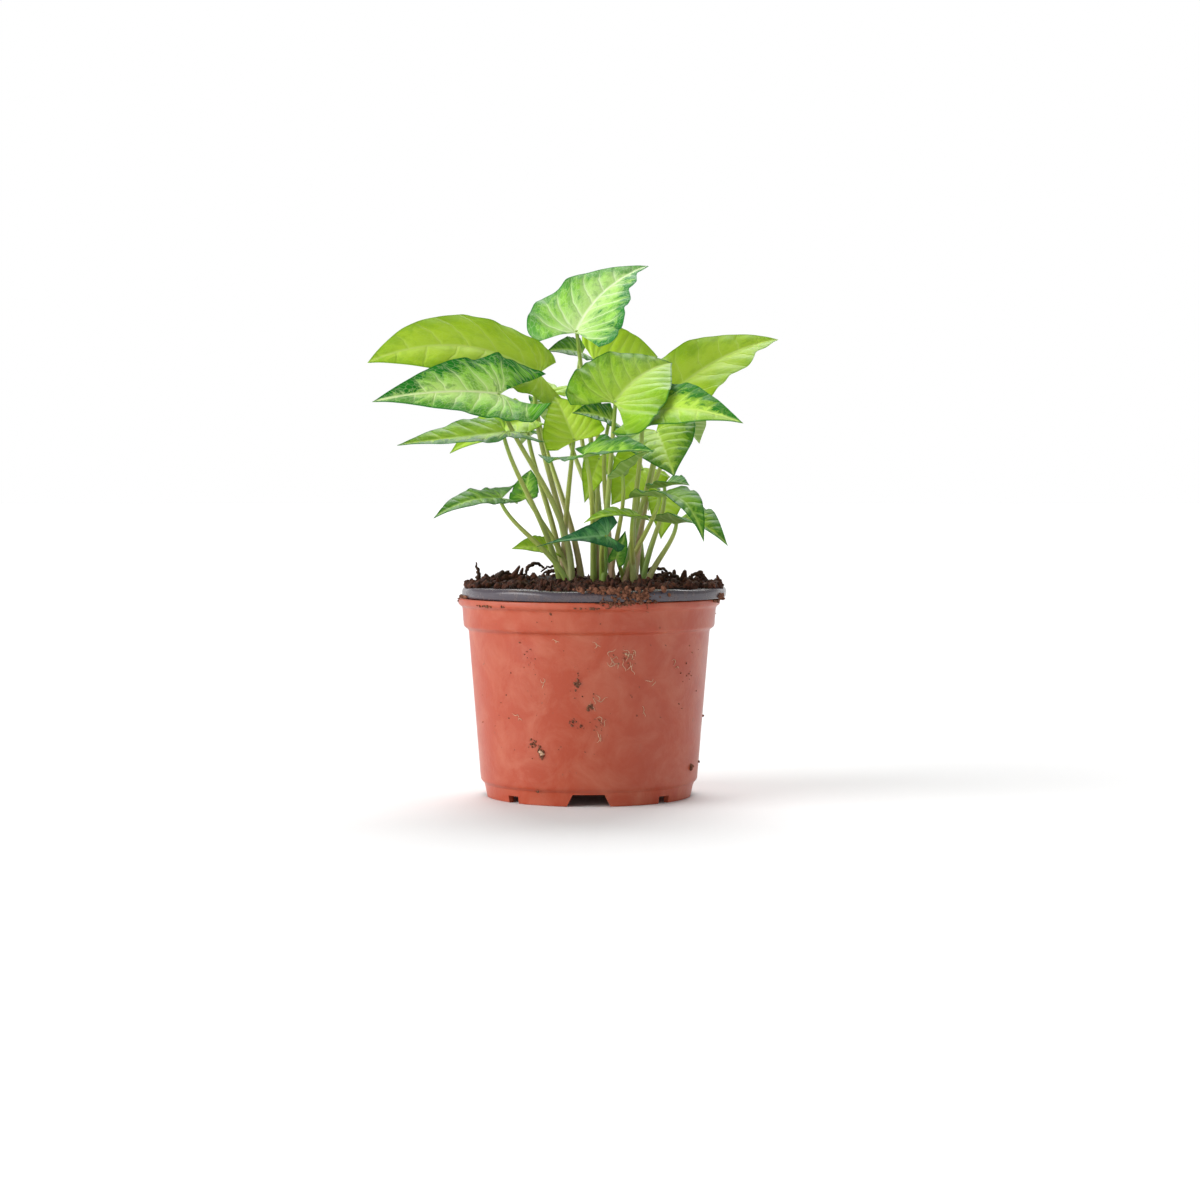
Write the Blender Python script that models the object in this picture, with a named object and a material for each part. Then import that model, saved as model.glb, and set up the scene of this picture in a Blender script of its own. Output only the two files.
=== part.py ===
"""Arrowhead plant in a plastic nursery pot.

Metres, +Z up, the plant's front towards -Y, standing on z = 0. The sizes below are in
millimetres, measured from the pot's axis. POT_X then moves the whole plant a little, so
that the origin lies under the middle of the foliage.
"""

import math
import random
from dataclasses import dataclass

import bmesh
import bpy
from mathutils import Matrix, Vector

MM = 0.001
POT_X = 2.0
CLEARANCE = 0.3
TURNED_STEPS = 48
POT_CREASE, LEAF_CREASE = math.radians(35), math.radians(50)

# Outer pot: terracotta-coloured plastic, 119 mm across its lip and 88 mm high
WALL = 1.3
FOOT_RADIUS, FOOT_TOP_RADIUS, FOOT_HEIGHT, FOOT_WALL = 45.8, 46.7, 6.0, 2.6
BODY_RADIUS, BODY_TOP_RADIUS, BODY_TOP = 48.2, 53.6, 74.0
BAND_RADIUS, BAND_TOP_RADIUS, BAND_TOP = 55.7, 56.4, 84.0
LIP_RADIUS, LIP_TOP = 58.2, 88.0
STEP_HEIGHT = 1.4
NOTCH_BOTTOM, NOTCH_TOP, NOTCH_HEIGHT = 18.9, 13.6, 5.3
SLOT_WIDTH, SLOT_HEIGHT = 6.0, 3.2
GAP_INSIDE, GAP_OUTSIDE, GAP_BELOW = 8.0, 6.0, 2.0
DRAIN_RADIUS, DRAIN_CIRCLE, DRAIN_STEPS = 4.5, 32.0, 16

# Inner pot: thin dark-grey plastic, whose rolled rim lies on the outer pot's lip
INNER_SHIFT = 2.2
INNER_WALL = 1.0
RIM_RADIUS, RIM_HEIGHT, RIM_ROUND = 58.8, 4.6, 0.9
INNER_TOP_RADIUS, INNER_FLOOR_RADIUS = 50.4, 43.6

# Potting soil: a low lumpy mound
SOIL_EDGE, SOIL_CROWN = 90.4, 94.6
SOIL_RINGS, SOIL_SPOKES, SOIL_SEED = 7, 30, 11
LUMPS, LUMP_REACH, LUMP_LOW, LUMP_HIGH = 46, 46.0, -1.0, 1.7
LUMP_SMALL, LUMP_LARGE = 3.5, 7.0

# Plantlets: each a short stem in the soil that carries the stalks of its leaves
STEM_RADIUS, STEM_FOOT_RADIUS, STEM_SIDES = 5.6, 4.4, 12
STEM_DEPTH, STEM_TAPER, STEM_RISE, STEM_TOP_SHARE = 15.0, 13.0, 3.5, 0.8
PLANTLETS = {
    "plantlet_front_left": (-8.0, -8.0),
    "plantlet_front_middle": (6.0, -9.0),
    "plantlet_front_right": (20.0, -6.0),
    "plantlet_back_left": (-7.0, 8.0),
    "plantlet_back_middle": (7.0, 7.0),
    "plantlet_back_right": (20.0, 10.0),
}

# Leaf stalks: round and tapering, rising steeply before they bend out to their blades
STALK_FOOT, STALK_TOP, STALK_TAPER, STALK_SIDES, STALK_STEPS = 1.8, 0.95, 0.6, 6, 7
STALK_CIRCLE, STALK_SUNK, GOLDEN_ANGLE = 3.0, 0.4, math.radians(137.5)
STALK_LEAN, STALK_UPRIGHT, STALK_RISE, STALK_END = 0.4, 0.6, 0.42, 0.3
STALK_TURN, STALK_SEAT, LEAST_FACING = 0.6, 1.2, 0.35

# Leaf blades: an arrowhead outline that is widest at the stalk, with two lobes behind it
BLADE = 0.7
POINT_POWER, POINT_PINCH = 4.0, 0.35
LOBE_ROUND, LOBE_SPREAD, SINUS_POWER = 2.5, 0.66, 0.9
WAVE_LEFT, WAVE_RIGHT = 0.9, 2.6
LARGE_GRID, SMALL_GRID, SMALL_LENGTH = (7, 3, 3), (5, 2, 2), 32.0


@dataclass
class Leaf:
    """A leaf: base is where its stalk meets it, and face is the way its upper side looks."""

    name: str
    plantlet: str
    base: tuple
    tip: tuple
    face: tuple
    width: float
    look: str
    full: float = 1.8  # how long the blade stays wide towards its tip
    arch: float = 0.06  # how far the midrib bows up, in lengths
    sweep: float = 0.0  # how far the midrib bows to the left, in lengths
    fold: tuple = (14, 14)  # degrees that the left and right halves rise from the midrib
    lobes: tuple = (0.25, 0.25)  # how far the left and right lobes reach back, in lengths
    lift: tuple = (0, 0)  # millimetres that the tips of the lobes rise
    twist: float = 0.0  # degrees that the blade turns from base to tip
    wave: float = 0.04  # height of the waves in its margin, in widths
    waves: float = 2.5  # waves along the blade
    bow: tuple = (0, 0)  # millimetres that the stalk bows to the right and to the back


LEAVES = [
    Leaf("leaf_top", "plantlet_back_middle", (-6, 10, 206), (27, 32, 238), (0, -8, 6), 45, "pale",
         full=1.9, arch=0.03, sweep=0.09, fold=(0, 20), lobes=(0.18, 0.14), twist=-10, wave=0.05),
    Leaf("leaf_top_round_behind", "plantlet_back_middle", (3, 49, 194), (32, 58, 198), (0, -8, 4), 34,
         "lime", full=3, lobes=(0.12, 0.12)),
    Leaf("leaf_top_small_behind", "plantlet_back_middle", (-3, 30, 198), (-19, 11, 198), (0, -8, 5), 16,
         "dark"),
    Leaf("leaf_left_long", "plantlet_back_left", (-22, -4, 187), (-94, -44, 190), (1, -8, 6), 35,
         "lime", full=4, arch=0.09, sweep=-0.08, fold=(0, 6), lobes=(0.32, 0.1), wave=0.02),
    Leaf("leaf_left_mottled", "plantlet_front_left", (-38, -33, 177), (-91, -56, 173), (0, -8, 6), 37,
         "mottled", full=1.6, fold=(8, 14), lobes=(0.28, 0.36), lift=(8, 0), bow=(9, 9)),
    Leaf("leaf_left_level", "plantlet_front_left", (-36, -29, 161), (-81, -50, 155), (0, -4, 9), 25,
         "mottled", arch=0.0, fold=(6, 14), lobes=(0.3, 0.06), lift=(-5, 0)),
    Leaf("leaf_left_lime_behind", "plantlet_back_left", (-27, 3, 167), (-61, -16, 152), (0, -6, 8), 27,
         "lime", lobes=(0.05, 0.05)),
    Leaf("leaf_low_left", "plantlet_front_left", (-38, -22, 132), (-66, -48, 124), (-1, -4, 9), 18,
         "dark", arch=0.08, fold=(-2, 14), lobes=(0.1, 0.3), lift=(0, 5)),
    Leaf("leaf_low_left_behind", "plantlet_back_left", (-28, -5, 132), (-26, 8, 145), (-3, -5, 8), 14,
         "dark", lift=(5, 5)),
    Leaf("leaf_low_left_small", "plantlet_back_left", (-17, 4, 109), (-34, -9, 110), (0, -6, 6), 15,
         "lime", lobes=(0.08, 0.08)),
    Leaf("leaf_low_front_dark", "plantlet_front_middle", (8, -38, 116), (-22, -50, 112), (0, -9, 4), 18,
         "bluish", lobes=(0.2, 0.2), twist=55),
    Leaf("leaf_low_middle", "plantlet_front_right", (20, -30, 124), (-2, -46, 122), (0, -3, 9), 14,
         "lime", arch=0.08),
    Leaf("leaf_bud_right", "plantlet_front_right", (12, -25, 106), (16, -22, 118), (5, -6, 6), 8, "dark"),
    Leaf("leaf_front_level", "plantlet_front_middle", (-2, -46, 150), (27, -74, 152), (0, -3, 10), 25,
         "dark", arch=0.03, lobes=(0.3, 0.42), lift=(0, 5)),
    Leaf("leaf_middle_large", "plantlet_front_middle", (11, -38, 173), (37, -4, 192), (-1, -8, 5), 44,
         "lime", sweep=0.04, lobes=(0.3, 0.36), lift=(0, -1)),
    Leaf("leaf_middle_mottled", "plantlet_back_middle", (10, -19, 166), (-7, -31, 169), (0, -7, 7), 18,
         "mottled", lobes=(0.15, 0.15)),
    Leaf("leaf_middle_lime", "plantlet_back_left", (-6, -22, 157), (-15, -12, 177), (0, -8, 4), 28,
         "lime", lobes=(0.08, 0.08)),
    Leaf("leaf_middle_underside", "plantlet_front_middle", (14, -29, 142), (28, -50, 153), (-5, 4, 8),
         12, "pale", lobes=(0.12, 0.12)),
    Leaf("leaf_middle_lime_behind", "plantlet_back_middle", (5, 1, 151), (-2, -4, 130), (0, -9, 4), 14,
         "lime", lobes=(0.1, 0.1)),
    Leaf("leaf_right_long", "plantlet_back_right", (34, 30, 177), (89, 70, 207), (-2, -8, 5), 35,
         "lime", full=2.6, sweep=0.03, fold=(10, 14)),
    Leaf("leaf_right_mottled", "plantlet_front_right", (22, -27, 169), (65, -60, 164), (1, -7, 7), 36,
         "mottled", full=1.6, arch=0.08, fold=(14, 0), lobes=(0.3, 0.12), lift=(0, -3), bow=(-5, 0)),
    Leaf("leaf_right_hanging", "plantlet_back_right", (30, 3, 162), (37, -26, 142), (-1, -9, 5), 36,
         "mottled", full=2.6, lobes=(0.15, 0.2)),
    Leaf("leaf_right_rolled", "plantlet_front_right", (33, 2, 137), (44, -14, 138), (0, -6, 6), 16,
         "pale", fold=(5, 40)),
    Leaf("leaf_right_drooping", "plantlet_front_right", (30, -28, 133), (49, -56, 114), (2, -4, 9), 22,
         "dark", arch=0.20, lobes=(0.2, 0.3)),
    Leaf("leaf_right_low", "plantlet_front_right", (38, -8, 121), (60, -34, 112), (1, -7, 6), 28,
         "mottled", arch=0.15, fold=(0, 40), lobes=(0.3, 0.12)),
    Leaf("leaf_right_lime_behind", "plantlet_back_right", (25, 44, 146), (10, 32, 129), (0, -9, 4), 28,
         "lime", lobes=(0.15, 0.15)),
    Leaf("leaf_right_lime_low", "plantlet_back_right", (35, 18, 133), (32, 2, 114), (0, -8, 5), 18,
         "lime", lobes=(0.1, 0.1)),
    Leaf("leaf_back_left_high", "plantlet_back_left", (-24, 30, 180), (-50, 66, 178), (-2, 4, 9), 30,
         "lime", arch=0.10, lobes=(0.2, 0.2)),
    Leaf("leaf_back_middle_high", "plantlet_back_middle", (-13, 50, 174), (-14, 74, 160), (0, 5, 8), 32,
         "mottled", arch=0.12, lobes=(0.15, 0.15)),
    Leaf("leaf_back_right_high", "plantlet_back_right", (38, 44, 166), (52, 70, 158), (3, 4, 8), 28,
         "mottled", arch=0.12, lobes=(0.2, 0.2)),
    Leaf("leaf_back_left_low", "plantlet_back_left", (-20, 32, 161), (-32, 54, 157), (-3, 4, 8), 18,
         "mottled", arch=0.12, lobes=(0.1, 0.1)),
    Leaf("leaf_back_right_low", "plantlet_back_right", (22, 52, 136), (28, 72, 126), (3, 4, 8), 20,
         "dark", arch=0.14, lobes=(0.15, 0.15)),
]

LOOKS = {
    "lime": ("#9FC13F", 0.42),
    "pale": ("#C4DE8C", 0.42),
    "mottled": ("#7FA843", 0.40),
    "dark": ("#4C7A2A", 0.38),
    "bluish": ("#6A9160", 0.38),
}


def linear(code):
    """A six-digit colour code as the linear colour that a shader takes."""
    parts = [int(code[i : i + 2], 16) / 255 for i in (1, 3, 5)]
    return [c / 12.92 if c <= 0.04045 else ((c + 0.055) / 1.055) ** 2.4 for c in parts] + [1.0]


def material(name, code, roughness):
    made = bpy.data.materials.new(name)
    made.use_nodes = True
    shader = made.node_tree.nodes["Principled BSDF"]
    shader.inputs["Base Color"].default_value = linear(code)
    shader.inputs["Roughness"].default_value = roughness
    made.diffuse_color = linear(code)
    return made


def clear_scene():
    for thing in list(bpy.data.objects):
        bpy.data.objects.remove(thing, do_unlink=True)


def add(name, vertices, faces, finish=None, collection=None):
    """An object from points in millimetres about the pot's axis."""
    mesh = bpy.data.meshes.new(name)
    mesh.from_pydata([((x + POT_X) * MM, y * MM, z * MM) for x, y, z in vertices], [], faces)
    mesh.update()
    if finish:
        mesh.materials.append(finish)
    made = bpy.data.objects.new(name, mesh)
    (collection or bpy.context.scene.collection).objects.link(made)
    return made


def turned(profile, centre=(0.0, 0.0), steps=TURNED_STEPS):
    """Points and faces of a closed profile of (radius, height) turned round an upright axis."""
    vertices = []
    for k in range(steps):
        a = 2 * math.pi * k / steps
        vertices += [(centre[0] + r * math.cos(a), centre[1] + r * math.sin(a), z) for r, z in profile]
    count = len(profile)
    faces = []
    for k in range(steps):
        here, there = k * count, (k + 1) % steps * count
        for i in range(count):
            j = (i + 1) % count
            faces.append((here + i, here + j, there + j, there + i))
    return vertices, faces


def clean_turned(mesh):
    """Merges the points on the axis of a turned mesh and turns its faces outwards."""
    body = bmesh.new()
    body.from_mesh(mesh)
    bmesh.ops.remove_doubles(body, verts=body.verts, dist=MM * MM)
    bmesh.ops.dissolve_degenerate(body, edges=body.edges, dist=MM * MM)
    bmesh.ops.recalc_face_normals(body, faces=body.faces)
    body.to_mesh(mesh)
    body.free()


def turned_solid(name, profile, finish, centre_x=0.0):
    made = add(name, *turned(profile, (centre_x, 0.0)), finish)
    clean_turned(made.data)
    made.data.shade_smooth()
    made.data.set_sharp_from_angle(angle=POT_CREASE)
    return made


def prism(outline, low, high):
    """Points and faces of an outline of (x, y) pulled up from low to high."""
    count = len(outline)
    vertices = [(x, y, z) for z in (low, high) for x, y in outline]
    sides = [(i, (i + 1) % count, count + (i + 1) % count, count + i) for i in range(count)]
    return vertices, [tuple(range(count))[::-1], tuple(range(count, 2 * count))] + sides


def disc(radius, x, y, steps):
    angles = [2 * math.pi * k / steps for k in range(steps)]
    return [(x + radius * math.cos(a), y + radius * math.sin(a)) for a in angles]


def joined(shapes):
    """Several shapes' points and faces as one pair."""
    vertices, faces = [], []
    for points, sides in shapes:
        faces += [tuple(len(vertices) + i for i in side) for side in sides]
        vertices += points
    return vertices, faces


def cut(target, name, shapes):
    """Cuts closed shapes out of the target with one hidden cutter."""
    cutter = add(name, *joined(shapes))
    cutter.hide_render = True
    cutter.display_type = "WIRE"
    boolean = target.modifiers.new(name, "BOOLEAN")
    boolean.operation = "DIFFERENCE"
    boolean.solver = "EXACT"
    boolean.object = cutter


def foot_gap(angle, bottom, top, height):
    """A wedge-sided gap through the foot ring, at an angle round the pot."""
    near, far = FOOT_RADIUS - GAP_INSIDE, FOOT_RADIUS + GAP_OUTSIDE
    flare = (bottom - top) / 2 * GAP_BELOW / height
    section = [
        (-bottom / 2 - flare, -GAP_BELOW),
        (bottom / 2 + flare, -GAP_BELOW),
        (top / 2, height),
        (-top / 2, height),
    ]
    c, s = math.cos(angle), math.sin(angle)
    vertices = [(r * c - y * s, r * s + y * c, z) for r in (near, far) for y, z in section]
    faces = [(3, 2, 1, 0), (4, 5, 6, 7), (0, 1, 5, 4), (1, 2, 6, 5), (2, 3, 7, 6), (3, 0, 4, 7)]
    return vertices, faces


def outer_pot():
    foot_in = FOOT_RADIUS - FOOT_WALL
    floor_low, floor_high = FOOT_HEIGHT, FOOT_HEIGHT + WALL
    profile = [
        (0, floor_low),
        (foot_in, floor_low),
        (foot_in, 0),
        (FOOT_RADIUS, 0),
        (FOOT_TOP_RADIUS, FOOT_HEIGHT),
        (BODY_RADIUS, FOOT_HEIGHT + STEP_HEIGHT),
        (BODY_TOP_RADIUS, BODY_TOP),
        (BAND_RADIUS, BODY_TOP + STEP_HEIGHT),
        (BAND_TOP_RADIUS, BAND_TOP),
        (LIP_RADIUS, BAND_TOP + STEP_HEIGHT),
        (LIP_RADIUS, LIP_TOP),
        (BAND_TOP_RADIUS - WALL, LIP_TOP),
        (BAND_RADIUS - WALL, BODY_TOP + STEP_HEIGHT + WALL),
        (BODY_TOP_RADIUS - WALL, BODY_TOP),
        (BODY_RADIUS - WALL, floor_high),
        (0, floor_high),
    ]
    pot = turned_solid("outer_pot", profile, material("terracotta_plastic", "#B96045", 0.45))
    quarters = [math.pi / 2 * k for k in range(4)]
    gaps = [foot_gap(a, NOTCH_BOTTOM, NOTCH_TOP, NOTCH_HEIGHT) for a in quarters]
    gaps += [foot_gap(a + math.pi / 4, SLOT_WIDTH, SLOT_WIDTH, SLOT_HEIGHT) for a in quarters]
    cut(pot, "foot_gaps", gaps)
    drains = []
    for a in quarters:
        centre = (DRAIN_CIRCLE * math.cos(a), DRAIN_CIRCLE * math.sin(a))
        drains.append(prism(disc(DRAIN_RADIUS, *centre, DRAIN_STEPS), floor_low - WALL, floor_high + WALL))
    cut(pot, "drain_holes", drains)


def inner_radius(z):
    """Outside of the inner pot's wall at a height."""
    share = (z - FOOT_HEIGHT) / (LIP_TOP - FOOT_HEIGHT)
    return INNER_FLOOR_RADIUS + share * (INNER_TOP_RADIUS - INNER_FLOOR_RADIUS)


def inner_pot():
    floor = FOOT_HEIGHT + WALL + CLEARANCE
    skirt = LIP_TOP + CLEARANCE
    top = skirt + RIM_HEIGHT
    flange_low = top - INNER_WALL
    profile = [
        (0, floor),
        (inner_radius(floor), floor),
        (inner_radius(flange_low), flange_low),
        (RIM_RADIUS - INNER_WALL, flange_low),
        (RIM_RADIUS - INNER_WALL, skirt),
        (RIM_RADIUS, skirt),
        (RIM_RADIUS, top - RIM_ROUND),
        (RIM_RADIUS - RIM_ROUND, top),
        (inner_radius(top) + RIM_ROUND, top),
        (inner_radius(top) - INNER_WALL, top - RIM_ROUND),
        (inner_radius(floor) - INNER_WALL, floor + INNER_WALL),
        (0, floor + INNER_WALL),
    ]
    turned_solid("inner_pot", profile, material("dark_grey_plastic", "#5A4C4C", 0.4), INNER_SHIFT)


def soil_radius(z):
    """Radius of the soil at a height, just clear of the flats of the inner pot's wall."""
    return (inner_radius(z) - INNER_WALL) * math.cos(math.pi / TURNED_STEPS) - CLEARANCE


def soil_height(x, y, lumps):
    """Height of the soil at a place: a low mound with lumps of peat."""
    share = min(1.0, math.hypot(x - INNER_SHIFT, y) / soil_radius(SOIL_EDGE))
    height = SOIL_EDGE + (SOIL_CROWN - SOIL_EDGE) * (1 - share * share)
    for cx, cy, size, tall in lumps:
        height += tall * math.exp(-((x - cx) ** 2 + (y - cy) ** 2) / size**2)
    return height


def soil_lumps():
    draw = random.Random(SOIL_SEED)
    lumps = []
    for _ in range(LUMPS):
        angle, reach = draw.uniform(0, 2 * math.pi), LUMP_REACH * math.sqrt(draw.random())
        tall, size = draw.uniform(LUMP_LOW, LUMP_HIGH), draw.uniform(LUMP_SMALL, LUMP_LARGE)
        lumps.append((reach * math.cos(angle), reach * math.sin(angle), size, tall))
    return lumps


def soil_surface(lumps):
    """Points of the soil's top, ring by ring from the middle, with its edge left level."""
    edge = soil_radius(SOIL_EDGE)
    vertices = [(INNER_SHIFT, 0, soil_height(INNER_SHIFT, 0, lumps))]
    for ring in range(1, SOIL_RINGS + 1):
        reach = edge * ring / SOIL_RINGS
        for k in range(SOIL_SPOKES):
            a = 2 * math.pi * (k + (ring % 2) / 2) / SOIL_SPOKES
            x, y = INNER_SHIFT + reach * math.cos(a), reach * math.sin(a)
            z = SOIL_EDGE if ring == SOIL_RINGS else soil_height(x, y, lumps)
            vertices.append((x, y, z))
    return vertices


def soil_faces():
    """Triangles of the soil: the middle, the rings, the side wall and the floor."""
    faces = [(0, 1 + k, 1 + (k + 1) % SOIL_SPOKES) for k in range(SOIL_SPOKES)]
    for ring in range(SOIL_RINGS):
        here, there = 1 + ring * SOIL_SPOKES, 1 + (ring + 1) * SOIL_SPOKES
        wall = ring == SOIL_RINGS - 1
        for k in range(SOIL_SPOKES):
            j = (k + 1) % SOIL_SPOKES
            if ring % 2 or wall:
                faces += [(here + k, there + k, here + j), (here + j, there + k, there + j)]
            else:
                faces += [(here + k, there + k, there + j), (here + k, there + j, here + j)]
    first = 1 + SOIL_RINGS * SOIL_SPOKES
    faces.append(tuple(range(first + SOIL_SPOKES - 1, first - 1, -1)))
    return faces


def soil():
    floor = FOOT_HEIGHT + WALL + 2 * CLEARANCE + INNER_WALL
    vertices = soil_surface(soil_lumps())
    narrow = soil_radius(floor) / soil_radius(SOIL_EDGE)
    edge = vertices[-SOIL_SPOKES:]
    vertices += [(INNER_SHIFT + (x - INNER_SHIFT) * narrow, y * narrow, floor) for x, y, _ in edge]
    ground = add("soil", vertices, soil_faces(), material("potting_soil", "#412D20", 0.95))
    holes = []
    for x, y in PLANTLETS.values():
        outline = disc(STEM_RADIUS + CLEARANCE, x, y, STEM_SIDES)
        holes.append(prism(outline, SOIL_EDGE - STEM_DEPTH, SOIL_CROWN + STEM_DEPTH))
    cut(ground, "stem_holes", holes)


def side_width(u, full):
    """Half the width of a blade at a share u of its length, as a share of the widest."""
    return (1 - u**full) * (1 - POINT_PINCH * u**POINT_POWER)


def half_outline(u, full):
    """Inner and outer edge of half a blade at u, which runs from 0 to -1 along the lobe."""
    if u >= 0:
        return 0.0, side_width(u, full)
    share = min(1.0, -u)
    return LOBE_SPREAD * share**SINUS_POWER, 1 - (1 - LOBE_SPREAD) * share**LOBE_ROUND


def leaf_axes(leaf):
    """Base, length and the three directions of a leaf: along, to its left and up."""
    base, tip = Vector(leaf.base), Vector(leaf.tip)
    along = (tip - base).normalized()
    face = Vector(leaf.face)
    up = (face - along * face.dot(along)).normalized()
    return base, (tip - base).length, along, up.cross(along), up


def midrib(leaf, length, u):
    """The midrib at u: its point and the directions to its left and up, in the leaf's axes."""
    ahead = max(0.0, u)
    bow, slope = 4 * ahead * (1 - ahead), 4 * (1 - 2 * ahead)
    point = Vector((ahead, leaf.sweep * bow, leaf.arch * bow)) * length
    along = Vector((1, leaf.sweep * slope, leaf.arch * slope)).normalized()
    left = Vector((-along.y, along.x, 0)).normalized()
    if u < 0:
        point += along * u * length
    return point, left, along.cross(left)


def blade_point(leaf, length, u, side, across):
    """A point of the blade's middle surface, in millimetres along, left and up.

    u runs from 1 at the tip to 0 at the stalk and -1 at the tips of the lobes.
    side is 1 on the left half and -1 on the right, and across runs from the midrib, or the
    edge of the gap between the lobes, at 0 to the outer edge at 1.
    """
    inner, outer = half_outline(u, leaf.full)
    reach = inner + (outer - inner) * across
    half = leaf.width / 2 * reach
    pick = 0 if side > 0 else 1
    fold = math.radians(leaf.fold[pick])
    ahead, behind = max(0.0, u), max(0.0, -u)
    place = ahead - behind * leaf.lobes[pick]
    phase = 2 * math.pi * leaf.waves * place + (WAVE_LEFT, WAVE_RIGHT)[pick]
    ripple = leaf.wave * leaf.width * reach**2 * math.sin(phase) * math.sqrt(1 - ahead)
    rise = half * math.sin(fold) + leaf.lift[pick] * behind**2 + ripple
    offset = Vector((side * half * math.cos(fold), rise))
    offset.rotate(Matrix.Rotation(math.radians(leaf.twist) * ahead, 2))
    point, left, above = midrib(leaf, length, place)
    return point + left * offset.x + above * offset.y


def blade_rows(length):
    """Shares of the length at which a blade has its rows, and its columns on each half."""
    ahead, behind, columns = LARGE_GRID if length > SMALL_LENGTH else SMALL_GRID
    rows = [1 - k / ahead for k in range(ahead)] + [0.0]
    rows += [-(k + 1) / behind for k in range(behind)]
    return rows, columns


def blade_sheet(leaf):
    """Points and triangles of the blade's middle surface."""
    base, length, along, left, up = leaf_axes(leaf)
    rows, columns = blade_rows(length)
    index, points, faces = {}, [], []

    def place(row, side, column):
        if row == 0:
            key = "tip"
        elif row == len(rows) - 1:
            key = ("lobe", side)
        elif rows[row] >= 0 and column == 0:
            key = ("midrib", row)
        else:
            key = (row, side, column)
        if key not in index:
            index[key] = len(points)
            a, b, c = blade_point(leaf, length, rows[row], side, column / columns)
            points.append(base + along * a + left * b + up * c)
        return index[key]

    for side in (1, -1):
        for row in range(len(rows) - 1):
            for column in range(columns):
                corners = [
                    place(row, side, column),
                    place(row + 1, side, column),
                    place(row + 1, side, column + 1),
                    place(row, side, column + 1),
                ]
                for triangle in ((0, 1, 2), (0, 2, 3)):
                    face = [corners[k] for k in triangle]
                    if len(set(face)) == 3:
                        faces.append(tuple(face if side < 0 else face[::-1]))
    return points, faces


def thickened(points, faces, thickness):
    """A closed solid: the sheet pushed up and down, split alike, with a strip round its edge."""
    normals = [Vector() for _ in points]
    for a, b, c in faces:
        normal = (points[b] - points[a]).cross(points[c] - points[a])
        for k in (a, b, c):
            normals[k] += normal
    push = [n.normalized() * thickness / 2 for n in normals]
    count = len(points)
    vertices = [tuple(p + d) for p, d in zip(points, push)]
    vertices += [tuple(p - d) for p, d in zip(points, push)]
    solid = list(faces) + [(count + c, count + b, count + a) for a, b, c in faces]
    edges = {(f[k], f[(k + 1) % 3]) for f in faces for k in range(3)}
    for a, b in sorted(edges):
        if (b, a) not in edges:
            solid += [(b, a, count + a), (b, count + a, count + b)]
    return vertices, solid


def blade(leaf, finishes):
    made = add(leaf.name, *thickened(*blade_sheet(leaf), BLADE), finishes[leaf.look])
    made.data.shade_smooth()
    made.data.set_sharp_from_angle(angle=LEAF_CREASE)


def bezier(a, b, c, d, t):
    s = 1 - t
    return a * s**3 + b * (3 * s * s * t) + c * (3 * s * t * t) + d * t**3


def stalk_foot(plantlet, number):
    """Foot of a stalk: the first in the middle of the stem, the others spread round it."""
    x, y = PLANTLETS[plantlet]
    ring = STALK_CIRCLE if number else 0.0
    angle = number * GOLDEN_ANGLE
    depth = STALK_SUNK * (number + 1)
    return Vector((x + ring * math.cos(angle), y + ring * math.sin(angle), SOIL_CROWN - depth))


def stalk_path(leaf, number):
    """Points up a stalk, which stops just under its blade."""
    foot = stalk_foot(leaf.plantlet, number)
    base, length, *axes = leaf_axes(leaf)
    seat, _, above = midrib(leaf, length, STALK_SEAT / length)
    seat, up = (sum((axis * share for axis, share in zip(axes, v)), Vector()) for v in (seat, above))
    seat += base
    straight, span = (seat - foot).normalized(), (seat - foot).length
    arrive = (straight + up * STALK_TURN).normalized()
    facing = max(LEAST_FACING, arrive.dot(up))
    slant = math.sqrt(max(0.0, 1 - facing * facing))
    end = seat - arrive * ((BLADE / 2 + CLEARANCE + STALK_TOP * slant) / facing)
    side = Vector((leaf.bow[0], leaf.bow[1], 0))
    leave = straight * STALK_LEAN + Vector((0, 0, STALK_UPRIGHT))
    first = foot + leave * (span * STALK_RISE) + side
    second = end - arrive * (span * STALK_END) + side / 2
    return [bezier(foot, first, second, end, k / STALK_STEPS) for k in range(STALK_STEPS + 1)]


def tube(path, radii, sides):
    """Points and faces of a round tube along a path, with flat ends."""
    count = len(path)
    vertices, faces = [], []
    side = Vector((1, 0, 0))
    for k, point in enumerate(path):
        ahead = (path[min(k + 1, count - 1)] - path[max(k - 1, 0)]).normalized()
        side = (side - ahead * side.dot(ahead)).normalized()
        across = ahead.cross(side)
        for j in range(sides):
            a = 2 * math.pi * j / sides
            vertices.append(point + (side * math.cos(a) + across * math.sin(a)) * radii[k])
    for k in range(count - 1):
        here, there = k * sides, (k + 1) * sides
        for j in range(sides):
            i = (j + 1) % sides
            faces.append((here + j, here + i, there + i, there + j))
    faces.append(tuple(range(sides))[::-1])
    faces.append(tuple(range((count - 1) * sides, count * sides)))
    return vertices, faces


def stalk(leaf, number):
    path = stalk_path(leaf, number)
    shares = [(k / STALK_STEPS) ** STALK_TAPER for k in range(STALK_STEPS + 1)]
    return tube(path, [STALK_FOOT + (STALK_TOP - STALK_FOOT) * s for s in shares], STALK_SIDES)


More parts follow.
